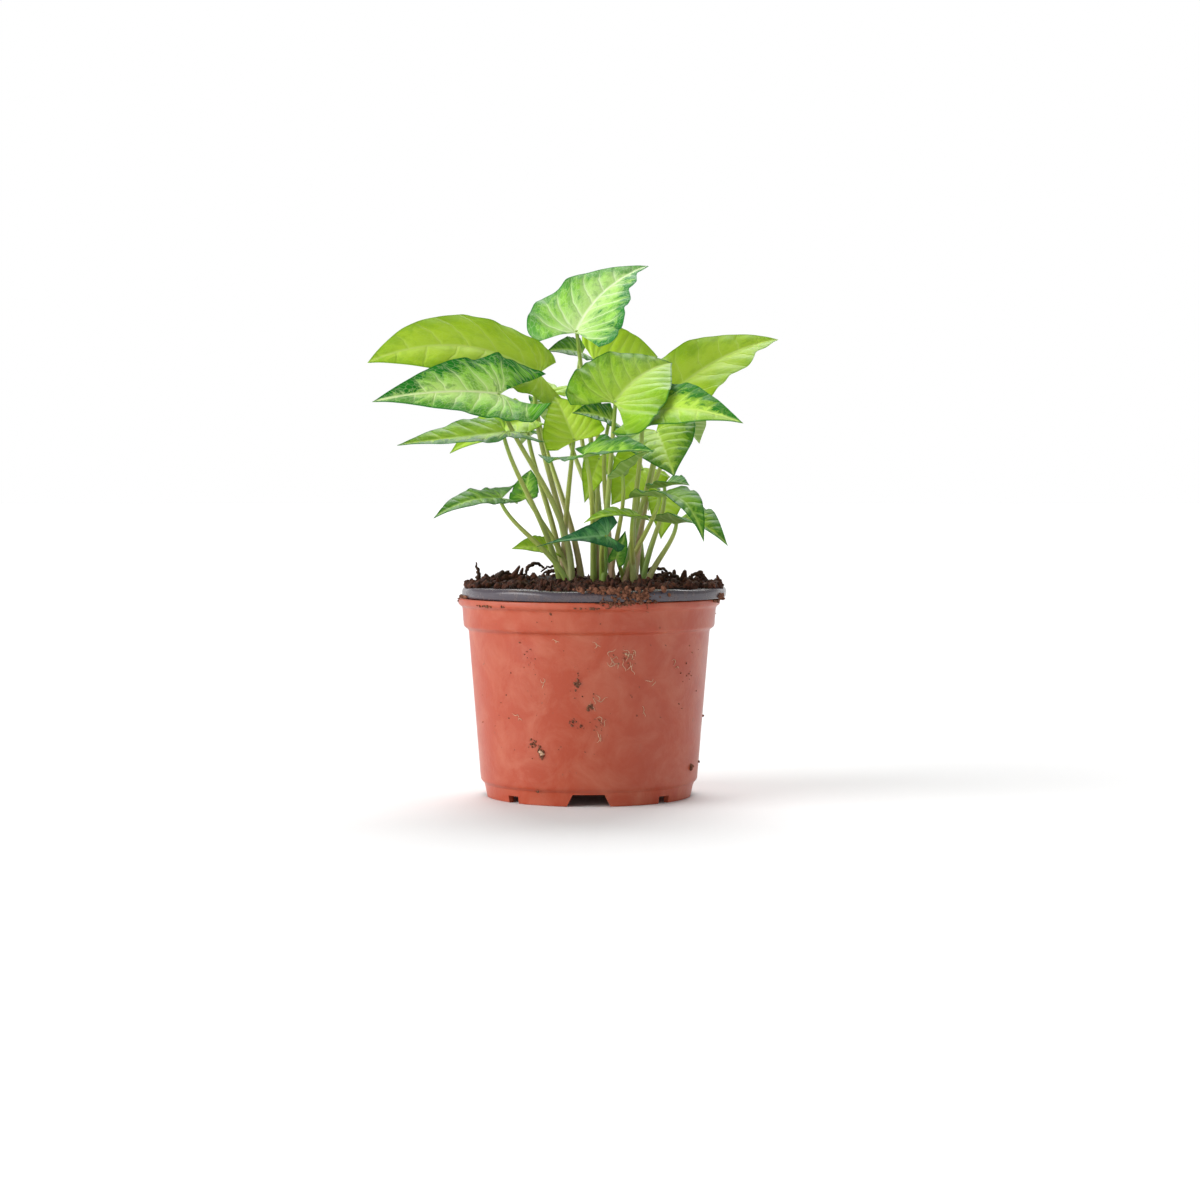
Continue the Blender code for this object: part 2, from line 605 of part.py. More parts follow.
def stem_profile():
    """Half section of the short stem: tapering in the soil, with a flat top above it."""
    return [
        (0, SOIL_EDGE - STEM_DEPTH + CLEARANCE),
        (STEM_FOOT_RADIUS, SOIL_EDGE - STEM_DEPTH + CLEARANCE),
        (STEM_RADIUS, SOIL_EDGE - STEM_DEPTH + STEM_TAPER),
        (STEM_RADIUS, SOIL_CROWN),
        (STEM_RADIUS * STEM_TOP_SHARE, SOIL_CROWN + STEM_RISE),
        (0, SOIL_CROWN + STEM_RISE),
    ]


def plantlet(name, finish):
    """The short stem of one plantlet, with its leaf stalks joined to it."""
    stem = add(name, *turned(stem_profile(), PLANTLETS[name], STEM_SIDES), finish)
    clean_turned(stem.data)
    stalks = bpy.data.collections.new(name + "_stalks")
    bpy.context.scene.collection.children.link(stalks)
    own = [leaf for leaf in LEAVES if leaf.plantlet == name]
    for number, leaf in enumerate(own):
        add(leaf.name + "_stalk", *stalk(leaf, number), finish, stalks)
    union = stem.modifiers.new("stalks", "BOOLEAN")
    union.operation = "UNION"
    union.operand_type = "COLLECTION"
    union.solver = "EXACT"
    union.use_self = True
    union.collection = stalks
    bpy.context.view_layer.update()
    graph = bpy.context.evaluated_depsgraph_get()
    mesh = bpy.data.meshes.new_from_object(stem.evaluated_get(graph))
    stem.modifiers.clear()
    stem.data = mesh
    for used in list(stalks.objects):
        bpy.data.objects.remove(used, do_unlink=True)
    bpy.data.collections.remove(stalks)
    mesh.shade_smooth()


def build():
    clear_scene()
    outer_pot()
    inner_pot()
    soil()
    green = material("stalk_green", "#A9B06A", 0.5)
    for name in PLANTLETS:
        plantlet(name, green)
    finishes = {look: material("leaf_" + look, *finish) for look, finish in LOOKS.items()}
    for leaf in LEAVES:
        blade(leaf, finishes)


build()
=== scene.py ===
"""Looks of an arrowhead plant in a plastic nursery pot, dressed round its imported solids.

The forms are in millimetres, measured from the pot's axis, as in the part's source; the
studio, the scattered crumbs and the finishes are in metres. POT_X moves the whole plant,
and MM turns millimetres into metres.
"""

import math
import random
from dataclasses import dataclass

import bmesh
import bpy
from mathutils import Matrix, Vector, noise


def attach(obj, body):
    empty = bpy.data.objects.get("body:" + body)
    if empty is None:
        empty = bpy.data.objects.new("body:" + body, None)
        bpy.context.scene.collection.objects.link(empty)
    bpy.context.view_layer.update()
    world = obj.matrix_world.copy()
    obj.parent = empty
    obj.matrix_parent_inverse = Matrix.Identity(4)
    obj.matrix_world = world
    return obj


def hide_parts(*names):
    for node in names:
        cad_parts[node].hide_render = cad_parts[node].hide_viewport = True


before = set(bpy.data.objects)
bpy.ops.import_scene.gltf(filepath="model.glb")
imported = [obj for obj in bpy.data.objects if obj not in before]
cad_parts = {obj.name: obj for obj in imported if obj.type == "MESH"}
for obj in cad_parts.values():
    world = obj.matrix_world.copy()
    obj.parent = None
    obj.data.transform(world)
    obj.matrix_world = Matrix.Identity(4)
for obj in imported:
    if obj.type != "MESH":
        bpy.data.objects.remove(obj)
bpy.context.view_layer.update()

MM = 0.001
POT_X = 2.0

# Leaf form, as in the part's source
POINT_POWER, POINT_PINCH = 4.0, 0.35
LOBE_ROUND, LOBE_SPREAD, SINUS_POWER = 2.5, 0.66, 0.9
WAVE_LEFT, WAVE_RIGHT = 0.9, 2.6

# Fine form of a blade
ROWS_AHEAD, ROWS_BEHIND, COLUMNS = 44, 16, 13
BLADE_MIDDLE, BLADE_EDGE, EDGE_REACH = 0.6, 0.28, 4.0
VEIN_PAIRS, LEAST_SPACING = 6, 3.6
VEIN_LEAN, VEIN_CURL, LOBE_VEINS = 0.45, 0.022, 2.6
PUFF, RIB_DEPTH, RIB_WIDTH = 0.6, 0.5, 1.5
CRINKLE, CRINKLES = 0.022, 4.5
UNEVEN, UNEVEN_SIZE = 0.07, 0.1

# Stalks: they run as in the part's source, but are thinner, stand further apart at the foot
# and have no short stem that joins them
SOIL_CROWN = 94.6
STALK_FOOT, STALK_TOP, STALK_TAPER = 1.75, 0.85, 0.6
STALK_STEPS, STALK_SIDES = 28, 12
STALK_CIRCLE, FOOT_DEPTH, GOLDEN_ANGLE = 5.2, 5.0, math.radians(137.5)
STALK_LEAN, STALK_UPRIGHT, STALK_RISE, STALK_END = 0.4, 0.6, 0.42, 0.3
STALK_TURN, STALK_SEAT = 0.6, 1.2
PLANTLETS = {
    "plantlet_front_left": (-8.0, -8.0),
    "plantlet_front_middle": (6.0, -9.0),
    "plantlet_front_right": (20.0, -6.0),
    "plantlet_back_left": (-7.0, 8.0),
    "plantlet_back_middle": (7.0, 7.0),
    "plantlet_back_right": (20.0, 10.0),
}


@dataclass
class Leaf:
    """A leaf: base is where its stalk meets it, and face is the way its upper side looks."""

    name: str
    plantlet: str
    base: tuple
    tip: tuple
    face: tuple
    width: float
    look: str
    full: float = 1.8  # how long the blade stays wide towards its tip
    arch: float = 0.06  # how far the midrib bows up, in lengths
    sweep: float = 0.0  # how far the midrib bows to the left, in lengths
    fold: tuple = (14, 14)  # degrees that the left and right halves rise from the midrib
    lobes: tuple = (0.25, 0.25)  # how far the left and right lobes reach back, in lengths
    lift: tuple = (0, 0)  # millimetres that the tips of the lobes rise
    twist: float = 0.0  # degrees that the blade turns from base to tip
    wave: float = 0.04  # height of the waves in its margin, in widths
    waves: float = 2.5  # waves along the blade
    bow: tuple = (0, 0)  # millimetres that the stalk bows to the right and to the back
    mottle: tuple = (1, 1)  # how strongly the left and right halves are mottled
    skin: str = ""  # skin, where it isn't the one of the leaf's look
    nicks: tuple = ()  # bites (or bulges) of the margin: side, place, depth and reach along it


LEAVES = [
    Leaf("leaf_top", "plantlet_back_middle", (-6, 10, 206), (27, 32, 238), (0, -8, 6), 45, "pale",
         full=1.9, arch=0.03, sweep=0.09, fold=(0, 20), lobes=(0.18, 0.14), twist=-10, wave=0.05,
         mottle=(0.8, 1.1), nicks=((-1, 0.86, -0.45, 0.05), (-1, 0.74, 0.1, 0.04), (-1, 0.62, -0.14, 0.04),
                                   (-1, 0.5, 0.05, 0.05), (-1, 0.34, -0.07, 0.05), (1, 0.36, -0.05, 0.05),
                                   (1, 0.2, 0.05, 0.07))),
    Leaf("leaf_top_round_behind", "plantlet_back_middle", (3, 49, 194), (32, 58, 198), (0, -8, 4), 34,
         "lime", full=3, lobes=(0.12, 0.12), mottle=(0.5, 0.5)),
    Leaf("leaf_top_small_behind", "plantlet_back_middle", (-3, 30, 198), (-19, 11, 198), (0, -8, 5), 16,
         "dark"),
    Leaf("leaf_left_long", "plantlet_back_left", (-22, -4, 187), (-94, -44, 190), (1, -8, 6), 35,
         "lime", full=4, arch=0.09, sweep=-0.08, fold=(0, 6), lobes=(0.32, 0.1), wave=0.02,
         mottle=(0.8, 0.8)),
    Leaf("leaf_left_mottled", "plantlet_front_left", (-38, -33, 177), (-91, -56, 173), (0, -8, 6), 37,
         "mottled", full=1.6, fold=(8, 14), lobes=(0.28, 0.44), lift=(8, 0), bow=(9, 9),
         mottle=(0.9, 1.3)),
    Leaf("leaf_left_level", "plantlet_front_left", (-36, -29, 161), (-81, -50, 155), (0, -4, 9), 25,
         "mottled", arch=0.0, fold=(6, 14), lobes=(0.3, 0.06), lift=(-5, 0), mottle=(1.1, 0.6),
         skin="spotted"),
    Leaf("leaf_left_lime_behind", "plantlet_back_left", (-27, 3, 167), (-61, -16, 152), (0, -6, 8), 27,
         "lime", lobes=(0.05, 0.05), mottle=(0.5, 0.5)),
    Leaf("leaf_low_left", "plantlet_front_left", (-38, -22, 132), (-66, -48, 124), (-1, -4, 9), 18,
         "dark", arch=0.08, fold=(-2, 14), lobes=(0.1, 0.3), lift=(0, 5)),
    Leaf("leaf_low_left_behind", "plantlet_back_left", (-28, -5, 132), (-26, 8, 145), (-3, -5, 8), 14,
         "dark", lift=(5, 5)),
    Leaf("leaf_low_left_small", "plantlet_back_left", (-17, 4, 109), (-34, -9, 110), (0, -6, 6), 15,
         "lime", lobes=(0.08, 0.08), mottle=(0.5, 0.9)),
    Leaf("leaf_low_front_dark", "plantlet_front_middle", (8, -38, 116), (-22, -50, 112), (0, -9, 4), 18,
         "bluish", full=0.7, lobes=(0.2, 0.2), twist=70),
    Leaf("leaf_low_middle", "plantlet_front_right", (20, -30, 124), (-2, -46, 122), (0, -3, 9), 14,
         "lime", arch=0.08, mottle=(1.2, 1.6)),
    Leaf("leaf_bud_right", "plantlet_front_right", (12, -25, 106), (16, -22, 118), (5, -6, 6), 8, "dark"),
    Leaf("leaf_front_level", "plantlet_front_middle", (-2, -46, 150), (27, -74, 152), (0, -5, 9), 26,
         "dark", arch=0.03, lobes=(0.3, 0.42), lift=(0, 5), mottle=(1.8, 1.8)),
    Leaf("leaf_middle_large", "plantlet_front_middle", (11, -38, 173), (37, -4, 192), (-1, -8, 5), 44,
         "lime", sweep=0.04, lobes=(0.3, 0.36), lift=(0, -1), mottle=(0.6, 0.35),
         skin="spotted"),
    Leaf("leaf_middle_mottled", "plantlet_back_middle", (10, -19, 166), (-7, -31, 169), (0, -7, 7), 18,
         "mottled", lobes=(0.15, 0.15), mottle=(1.5, 1.5), skin="spotted"),
    Leaf("leaf_middle_lime", "plantlet_back_left", (-6, -22, 157), (-15, -12, 177), (0, -8, 4), 28,
         "lime", lobes=(0.08, 0.08), mottle=(0.4, 0.4)),
    Leaf("leaf_middle_underside", "plantlet_front_middle", (14, -29, 142), (28, -50, 153), (-5, 4, 8),
         12, "pale", lobes=(0.12, 0.12)),
    Leaf("leaf_middle_lime_behind", "plantlet_back_middle", (5, 1, 151), (-2, -4, 130), (0, -9, 4), 14,
         "lime", lobes=(0.1, 0.1), mottle=(0.5, 0.5)),
    Leaf("leaf_right_long", "plantlet_back_right", (34, 30, 177), (89, 70, 207), (-2, -8, 5), 35,
         "lime", full=2.6, sweep=0.03, fold=(10, 14), mottle=(0.8, 0.8),
         nicks=((-1, 0.74, -0.2, 0.07), (-1, 0.56, 0.04, 0.06), (-1, 0.4, -0.08, 0.05))),
    Leaf("leaf_right_mottled", "plantlet_front_right", (22, -27, 169), (65, -60, 164), (1, -7, 7), 36,
         "mottled", full=1.6, arch=0.08, fold=(14, 0), lobes=(0.3, 0.12), lift=(0, -3), bow=(-5, 0),
         mottle=(1.5, 0.4), skin="spotted"),
    Leaf("leaf_right_hanging", "plantlet_back_right", (30, 3, 162), (37, -26, 142), (-1, -9, 5), 36,
         "mottled", full=2.6, lobes=(0.15, 0.2), mottle=(0.9, 0.9), skin="spotted"),
    Leaf("leaf_right_rolled", "plantlet_front_right", (33, 2, 137), (44, -14, 138), (0, -6, 6), 16,
         "pale", fold=(5, 40)),
    Leaf("leaf_right_drooping", "plantlet_front_right", (30, -28, 133), (49, -56, 114), (2, -4, 9), 22,
         "dark", arch=0.20, lobes=(0.2, 0.3)),
    Leaf("leaf_right_low", "plantlet_front_right", (38, -8, 121), (60, -34, 112), (1, -7, 6), 28,
         "mottled", arch=0.15, fold=(0, 40), lobes=(0.3, 0.12), skin="spotted"),
    Leaf("leaf_right_lime_behind", "plantlet_back_right", (25, 44, 146), (10, 32, 129), (0, -9, 4), 28,
         "lime", lobes=(0.15, 0.15), mottle=(0.4, 0.4)),
    Leaf("leaf_right_lime_low", "plantlet_back_right", (35, 18, 133), (32, 2, 114), (0, -8, 5), 18,
         "lime", lobes=(0.1, 0.1), mottle=(0.4, 0.4)),
    Leaf("leaf_back_left_high", "plantlet_back_left", (-24, 30, 180), (-50, 66, 178), (-2, 4, 9), 30,
         "lime", arch=0.10, lobes=(0.2, 0.2), mottle=(0.6, 0.6)),
    Leaf("leaf_back_middle_high", "plantlet_back_middle", (-13, 50, 174), (-14, 74, 160), (0, 5, 8), 32,
         "mottled", arch=0.12, lobes=(0.15, 0.15)),
    Leaf("leaf_back_right_high", "plantlet_back_right", (38, 44, 166), (52, 70, 158), (3, 4, 8), 28,
         "mottled", arch=0.12, lobes=(0.2, 0.2)),
    Leaf("leaf_back_left_low", "plantlet_back_left", (-20, 32, 161), (-32, 54, 157), (-3, 4, 8), 18,
         "mottled", arch=0.12, lobes=(0.1, 0.1)),
    Leaf("leaf_back_right_low", "plantlet_back_right", (22, 52, 136), (28, 72, 126), (3, 4, 8), 20,
         "dark", arch=0.14, lobes=(0.15, 0.15)),
]


# Shared helpers


def linear(code):
    """A six-digit colour code as the linear colour that a shader takes."""
    parts = [int(code[i : i + 2], 16) / 255 for i in (1, 3, 5)]
    return [c / 12.92 if c <= 0.04045 else ((c + 0.055) / 1.055) ** 2.4 for c in parts] + [1.0]


def wire(tree, source, socket):
    """Joins a node's first live output, or the output itself, to a socket."""
    if isinstance(source, bpy.types.Node):
        source = next(s for s in source.outputs if s.enabled)
    tree.links.new(source, socket)


def add_node(tree, kind, inputs=None, **settings):
    """A node with its settings, and with values or other nodes' outputs on its inputs."""
    made = tree.nodes.new(kind)
    for name, value in settings.items():
        setattr(made, name, value)
    for key, value in (inputs or {}).items():
        if isinstance(key, int):
            socket = made.inputs[key]
        else:
            socket = next(s for s in made.inputs if s.enabled and key in (s.name, s.identifier))
        if isinstance(value, (bpy.types.Node, bpy.types.NodeSocket)):
            wire(tree, value, socket)
        else:
            socket.default_value = value
    return made


def new_finish(name):
    """An empty material with its tree, shader and surface output joined."""
    made = bpy.data.materials.new(name)
    made.use_nodes = True
    tree = made.node_tree
    return made, tree, tree.nodes["Principled BSDF"]


def add_mesh(name, vertices, faces, edges=()):
    """An object from points in millimetres about the pot's axis."""
    mesh = bpy.data.meshes.new(name)
    mesh.from_pydata([((x + POT_X) * MM, y * MM, z * MM) for x, y, z in vertices], edges, faces)
    mesh.update()
    made = bpy.data.objects.new(name, mesh)
    bpy.context.scene.collection.objects.link(made)
    return made


def settle(piece):
    """Turns the piece's modifiers into a plain mesh."""
    bpy.context.view_layer.update()
    graph = bpy.context.evaluated_depsgraph_get()
    mesh = bpy.data.meshes.new_from_object(
        piece.evaluated_get(graph), preserve_all_data_layers=True, depsgraph=graph
    )
    piece.modifiers.clear()
    piece.data = mesh
    return piece


def grow(piece, tree, inputs):
    """Runs a tree of geometry nodes on a piece, with its named inputs set, and keeps the mesh."""
    modifier = piece.modifiers.new(tree.name, "NODES")
    modifier.node_group = tree
    for item in tree.interface.items_tree:
        if item.item_type == "SOCKET" and item.in_out == "INPUT" and item.name in inputs:
            modifier[item.identifier] = inputs[item.name]
    return settle(piece)


def new_grower(name, sizes):
    """A tree of geometry nodes with its own geometry in and out and named number inputs."""
    tree = bpy.data.node_groups.new(name, "GeometryNodeTree")
    tree.interface.new_socket("Geometry", in_out="INPUT", socket_type="NodeSocketGeometry")
    for size in sizes:
        kind = "NodeSocketInt" if size in ("Sides", "Seed", "Steps") else "NodeSocketFloat"
        tree.interface.new_socket(size, in_out="INPUT", socket_type=kind)
    tree.interface.new_socket("Geometry", in_out="OUTPUT", socket_type="NodeSocketGeometry")
    return tree, add_node(tree, "NodeGroupInput")


def dress(piece, nodes):
    """The piece rides on the pot and stands for its solids."""
    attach(piece, "root")
    if nodes:
        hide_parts(*nodes)


# Finishes


def leaf_skin(name, flesh, heart, dark, vein, edge, mottled, netted, veined, roughness):
    """Waxy leaf skin: mottled between pale veins, with a darker line along its margin.

    It reads three maps of the blade: the vein's number and the spacing, the distances to the
    midrib and the margin in millimetres, and how mottled each half is, with the leaf's seed.
    """
    made, tree, shader = new_finish(name)
    veins = add_node(tree, "ShaderNodeSeparateXYZ", {0: add_node(tree, "ShaderNodeUVMap", uv_map="veins")})
    place = add_node(tree, "ShaderNodeSeparateXYZ", {0: add_node(tree, "ShaderNodeUVMap", uv_map="place")})
    patch = add_node(tree, "ShaderNodeSeparateXYZ", {0: add_node(tree, "ShaderNodeUVMap", uv_map="patch")})
    ray, gap = veins.outputs[0], veins.outputs[1]
    rib, rim = place.outputs[0], place.outputs[1]
    amount, seed = patch.outputs[0], patch.outputs[1]

    where = add_node(tree, "ShaderNodeTexCoord").outputs["Object"]
    wander = add_node(tree, "ShaderNodeTexNoise", {"Vector": where, "Scale": 110.0, "Detail": 2.0})
    shift = add_node(tree, "ShaderNodeMath", {0: wander, 1: 0.55, 2: ray}, operation="MULTIPLY_ADD")
    shift = add_node(tree, "ShaderNodeMath", {0: shift, 1: 0.225}, operation="ADD")
    cell = add_node(tree, "ShaderNodeMath", {0: shift}, operation="FRACT")
    centred = add_node(tree, "ShaderNodeMath", {0: cell, 1: 0.5}, operation="SUBTRACT")
    off = add_node(tree, "ShaderNodeMath", {0: centred}, operation="ABSOLUTE")
    away = add_node(tree, "ShaderNodeMath", {0: off, 1: gap}, operation="MULTIPLY")
    lateral = add_node(
        tree, "ShaderNodeMapRange",
        {"Value": away, "From Min": 0.05, "From Max": 0.55, "To Min": 0.7, "To Max": 0.0},
        interpolation_type="SMOOTHSTEP",
    )
    halo = add_node(
        tree, "ShaderNodeMapRange",
        {"Value": away, "From Min": 0.0, "From Max": 2.2, "To Min": 0.55, "To Max": 0.0},
        interpolation_type="SMOOTHSTEP",
    )
    halo = add_node(tree, "ShaderNodeMath", {0: halo, 1: wander}, operation="MULTIPLY")
    lateral = add_node(tree, "ShaderNodeMath", {0: lateral, 1: halo}, operation="MAXIMUM")
    fading = add_node(
        tree, "ShaderNodeMapRange", {"Value": rim, "From Min": 0.5, "From Max": 7.0}
    )
    lateral = add_node(tree, "ShaderNodeMath", {0: lateral, 1: fading}, operation="MULTIPLY")
    midrib = add_node(
        tree, "ShaderNodeMapRange",
        {"Value": rib, "From Min": 0.15, "From Max": 1.1, "To Min": 1.0, "To Max": 0.0},
        interpolation_type="SMOOTHSTEP",
    )
    line = add_node(tree, "ShaderNodeMath", {0: lateral, 1: midrib}, operation="MAXIMUM")

    # Blotches a few millimetres across, spaced by the veins, gather towards the margin
    stretched = add_node(tree, "ShaderNodeMath", {0: ray, 1: 1.25}, operation="MULTIPLY")
    outward = add_node(tree, "ShaderNodeMath", {0: rib, 1: 0.17}, operation="MULTIPLY")
    spot = add_node(tree, "ShaderNodeCombineXYZ", {0: stretched, 1: outward, 2: seed})
    clouds = add_node(
        tree, "ShaderNodeTexNoise",
        {"Vector": spot, "Scale": 1.0, "Detail": 5.0, "Roughness": 0.7, "Distortion": 0.7},
    )
    margin = add_node(
        tree, "ShaderNodeMapRange",
        {"Value": rim, "From Min": 0.0, "From Max": 9.0, "To Min": 0.24, "To Max": -0.04},
    )
    raised = add_node(tree, "ShaderNodeMath", {0: clouds, 1: margin}, operation="ADD")
    veiled = add_node(tree, "ShaderNodeMath", {0: line, 1: -0.16, 2: raised}, operation="MULTIPLY_ADD")
    blotch = add_node(
        tree, "ShaderNodeMapRange",
        {"Value": veiled, "From Min": 0.58 - mottled * 0.08, "From Max": 0.73 - mottled * 0.08},
        interpolation_type="SMOOTHSTEP",
    )
    cloudy = add_node(
        tree, "ShaderNodeMapRange",
        {"Value": veiled, "From Min": 0.50 - mottled * 0.08, "From Max": 0.60 - mottled * 0.08,
         "To Min": 0.0, "To Max": 0.42},
        interpolation_type="SMOOTHSTEP",
    )
    blotch = add_node(tree, "ShaderNodeMath", {0: blotch, 1: cloudy}, operation="MAXIMUM")
    blotch = add_node(tree, "ShaderNodeMath", {0: blotch, 1: amount}, operation="MULTIPLY")
    blotch = add_node(
        tree, "ShaderNodeMath", {0: blotch, 1: min(1.0, 0.25 + mottled * 0.7)},
        operation="MULTIPLY", use_clamp=True,
    )

    # A pale net of small veins, its meshes 1 to 3 mm across
    meshes = add_node(
        tree, "ShaderNodeTexVoronoi", {"Vector": spot, "Scale": 3.4}, feature="DISTANCE_TO_EDGE"
    )
    net = add_node(
        tree, "ShaderNodeMapRange",
        {"Value": meshes, "From Min": 0.0, "From Max": 0.1, "To Min": netted * 0.6, "To Max": 0.0},
        interpolation_type="SMOOTHSTEP",
    )

    inward = add_node(
        tree, "ShaderNodeMapRange",
        {"Value": rib, "From Min": 0.5, "From Max": 11.0, "To Min": 1.0, "To Max": 0.0},
    )
    drift = add_node(
        tree, "ShaderNodeTexNoise", {"Vector": spot, "Scale": 0.45, "Detail": 1.0}
    )
    glow = add_node(tree, "ShaderNodeMath", {0: inward, 1: drift}, operation="MULTIPLY")
    glow = add_node(
        tree, "ShaderNodeMath", {0: glow, 1: 1.5}, operation="MULTIPLY", use_clamp=True
    )
    colour = add_node(
        tree, "ShaderNodeMix", {"Factor": glow, "A": linear(flesh), "B": linear(heart)},
        data_type="RGBA",
    )
    colour = add_node(
        tree, "ShaderNodeMix", {"Factor": blotch, "A": colour, "B": linear(dark)}, data_type="RGBA"
    )
    paler = add_node(tree, "ShaderNodeMath", {0: line, 1: veined}, operation="MULTIPLY")
    paler = add_node(tree, "ShaderNodeMath", {0: paler, 1: net}, operation="MAXIMUM")
    colour = add_node(
        tree, "ShaderNodeMix", {"Factor": paler, "A": colour, "B": linear(vein)}, data_type="RGBA"
    )
    border = add_node(
        tree, "ShaderNodeMapRange",
        {"Value": rim, "From Min": 0.15, "From Max": 1.0, "To Min": 0.85, "To Max": 0.0},
        interpolation_type="SMOOTHSTEP",
    )
    colour = add_node(
        tree, "ShaderNodeMix", {"Factor": border, "A": colour, "B": linear(edge)}, data_type="RGBA"
    )
    wire(tree, colour, shader.inputs["Base Color"])

    # Quilted skin: it rises between the veins, with fine cells on top
    fine = add_node(
        tree, "ShaderNodeTexNoise",
        {"Vector": where, "Scale": 1600.0, "Detail": 2.0},
    )
    swell = add_node(
        tree, "ShaderNodeMapRange", {"Value": away, "From Min": 0.0, "From Max": 1.2},
        interpolation_type="SMOOTHSTEP",
    )
    height = add_node(tree, "ShaderNodeMath", {0: fine, 1: 0.12, 2: swell}, operation="MULTIPLY_ADD")
    bump = add_node(
        tree, "ShaderNodeBump", {"Strength": 0.5, "Distance": 0.0004, "Height": height}
    )
    wire(tree, bump, shader.inputs["Normal"])
    shader.inputs["Roughness"].default_value = roughness
    shader.inputs["IOR"].default_value = 1.42
    shader.inputs["Specular IOR Level"].default_value = 0.2
    shader.inputs["Subsurface Weight"].default_value = 0.1
    shader.inputs["Subsurface Radius"].default_value = (0.5, 1.0, 0.2)
    shader.inputs["Subsurface Scale"].default_value = 0.001
    return made


def leaf_underside():
    """Underside of a leaf: duller than the top, clouded, with pale veins."""
    made, tree, shader = new_finish("leaf_underside_skin")
    veins = add_node(tree, "ShaderNodeSeparateXYZ", {0: add_node(tree, "ShaderNodeUVMap", uv_map="veins")})
    where = add_node(tree, "ShaderNodeTexCoord").outputs["Object"]
    wander = add_node(tree, "ShaderNodeTexNoise", {"Vector": where, "Scale": 110.0, "Detail": 2.0})
    shift = add_node(
        tree, "ShaderNodeMath", {0: wander, 1: 0.55, 2: veins.outputs[0]}, operation="MULTIPLY_ADD")
    shift = add_node(tree, "ShaderNodeMath", {0: shift, 1: 0.225}, operation="ADD")
    cell = add_node(tree, "ShaderNodeMath", {0: shift}, operation="FRACT")
    centred = add_node(tree, "ShaderNodeMath", {0: cell, 1: 0.5}, operation="SUBTRACT")
    off = add_node(tree, "ShaderNodeMath", {0: centred}, operation="ABSOLUTE")
    away = add_node(tree, "ShaderNodeMath", {0: off, 1: veins.outputs[1]}, operation="MULTIPLY")
    line = add_node(
        tree, "ShaderNodeMapRange",
        {"Value": away, "From Min": 0.1, "From Max": 1.0, "To Min": 0.4, "To Max": 0.0},
        interpolation_type="SMOOTHSTEP",
    )
    clouds = add_node(
        tree, "ShaderNodeTexNoise",
        {"Vector": add_node(tree, "ShaderNodeTexCoord").outputs["Object"], "Scale": 90.0, "Detail": 3.0},
    )
    colour = add_node(
        tree, "ShaderNodeMix",
        {"Factor": clouds, "A": linear("#6E9338"), "B": linear("#8FB052")}, data_type="RGBA",
    )
    colour = add_node(
        tree, "ShaderNodeMix", {"Factor": line, "A": colour, "B": linear("#B4CB82")}, data_type="RGBA"
    )
    wire(tree, colour, shader.inputs["Base Color"])
    bump = add_node(tree, "ShaderNodeBump", {"Strength": 0.3, "Distance": 0.0003, "Height": line})
    wire(tree, bump, shader.inputs["Normal"])
    shader.inputs["Roughness"].default_value = 0.6
    shader.inputs["IOR"].default_value = 1.42
    return made


def stalk_skin():
    """Leaf stalk: smooth fleshy skin, brownish to green low down, each its own way, green above."""
    made, tree, shader = new_finish("leaf_stalk_skin")
    share = add_node(tree, "ShaderNodeAttribute", attribute_name="share").outputs["Fac"]
    tint = add_node(tree, "ShaderNodeAttribute", attribute_name="tint").outputs["Fac"]
    where = add_node(tree, "ShaderNodeTexCoord").outputs["Object"]
    drawn_out = add_node(tree, "ShaderNodeMapping", {"Vector": where, "Scale": (700, 700, 40)})
    streaks = add_node(tree, "ShaderNodeTexNoise", {"Vector": drawn_out, "Scale": 1.0, "Detail": 3.0})
    low = add_node(
        tree, "ShaderNodeMix",
        {"Factor": tint, "A": linear("#B8987E"), "B": linear("#6C962C")}, data_type="RGBA",
    )
    climb = add_node(tree, "ShaderNodeMath", {0: streaks, 1: 0.25, 2: share}, operation="MULTIPLY_ADD")
    green = add_node(
        tree, "ShaderNodeMapRange", {"Value": climb, "From Min": 0.25, "From Max": 0.75},
        interpolation_type="SMOOTHSTEP",
    )
    colour = add_node(
        tree, "ShaderNodeMix", {"Factor": green, "A": low, "B": linear("#A0AC52")}, data_type="RGBA"
    )
    top = add_node(
        tree, "ShaderNodeMapRange", {"Value": share, "From Min": 0.75, "From Max": 1.0}
    )
    colour = add_node(
        tree, "ShaderNodeMix", {"Factor": top, "A": colour, "B": linear("#84A43A")}, data_type="RGBA"
    )
    buried = add_node(
        tree, "ShaderNodeMapRange",
        {"Value": share, "From Min": 0.03, "From Max": 0.12, "To Min": 0.6, "To Max": 0.0},
    )
    colour = add_node(
        tree, "ShaderNodeMix", {"Factor": buried, "A": colour, "B": linear("#5A4526")}, data_type="RGBA"
    )
    wire(tree, colour, shader.inputs["Base Color"])
    bump = add_node(tree, "ShaderNodeBump", {"Strength": 0.25, "Distance": 0.0002, "Height": streaks})
    wire(tree, bump, shader.inputs["Normal"])
    shader.inputs["Roughness"].default_value = 0.42
    shader.inputs["Subsurface Weight"].default_value = 0.15
    shader.inputs["Subsurface Radius"].default_value = (0.5, 1.0, 0.2)
    shader.inputs["Subsurface Scale"].default_value = 0.0015
    return made


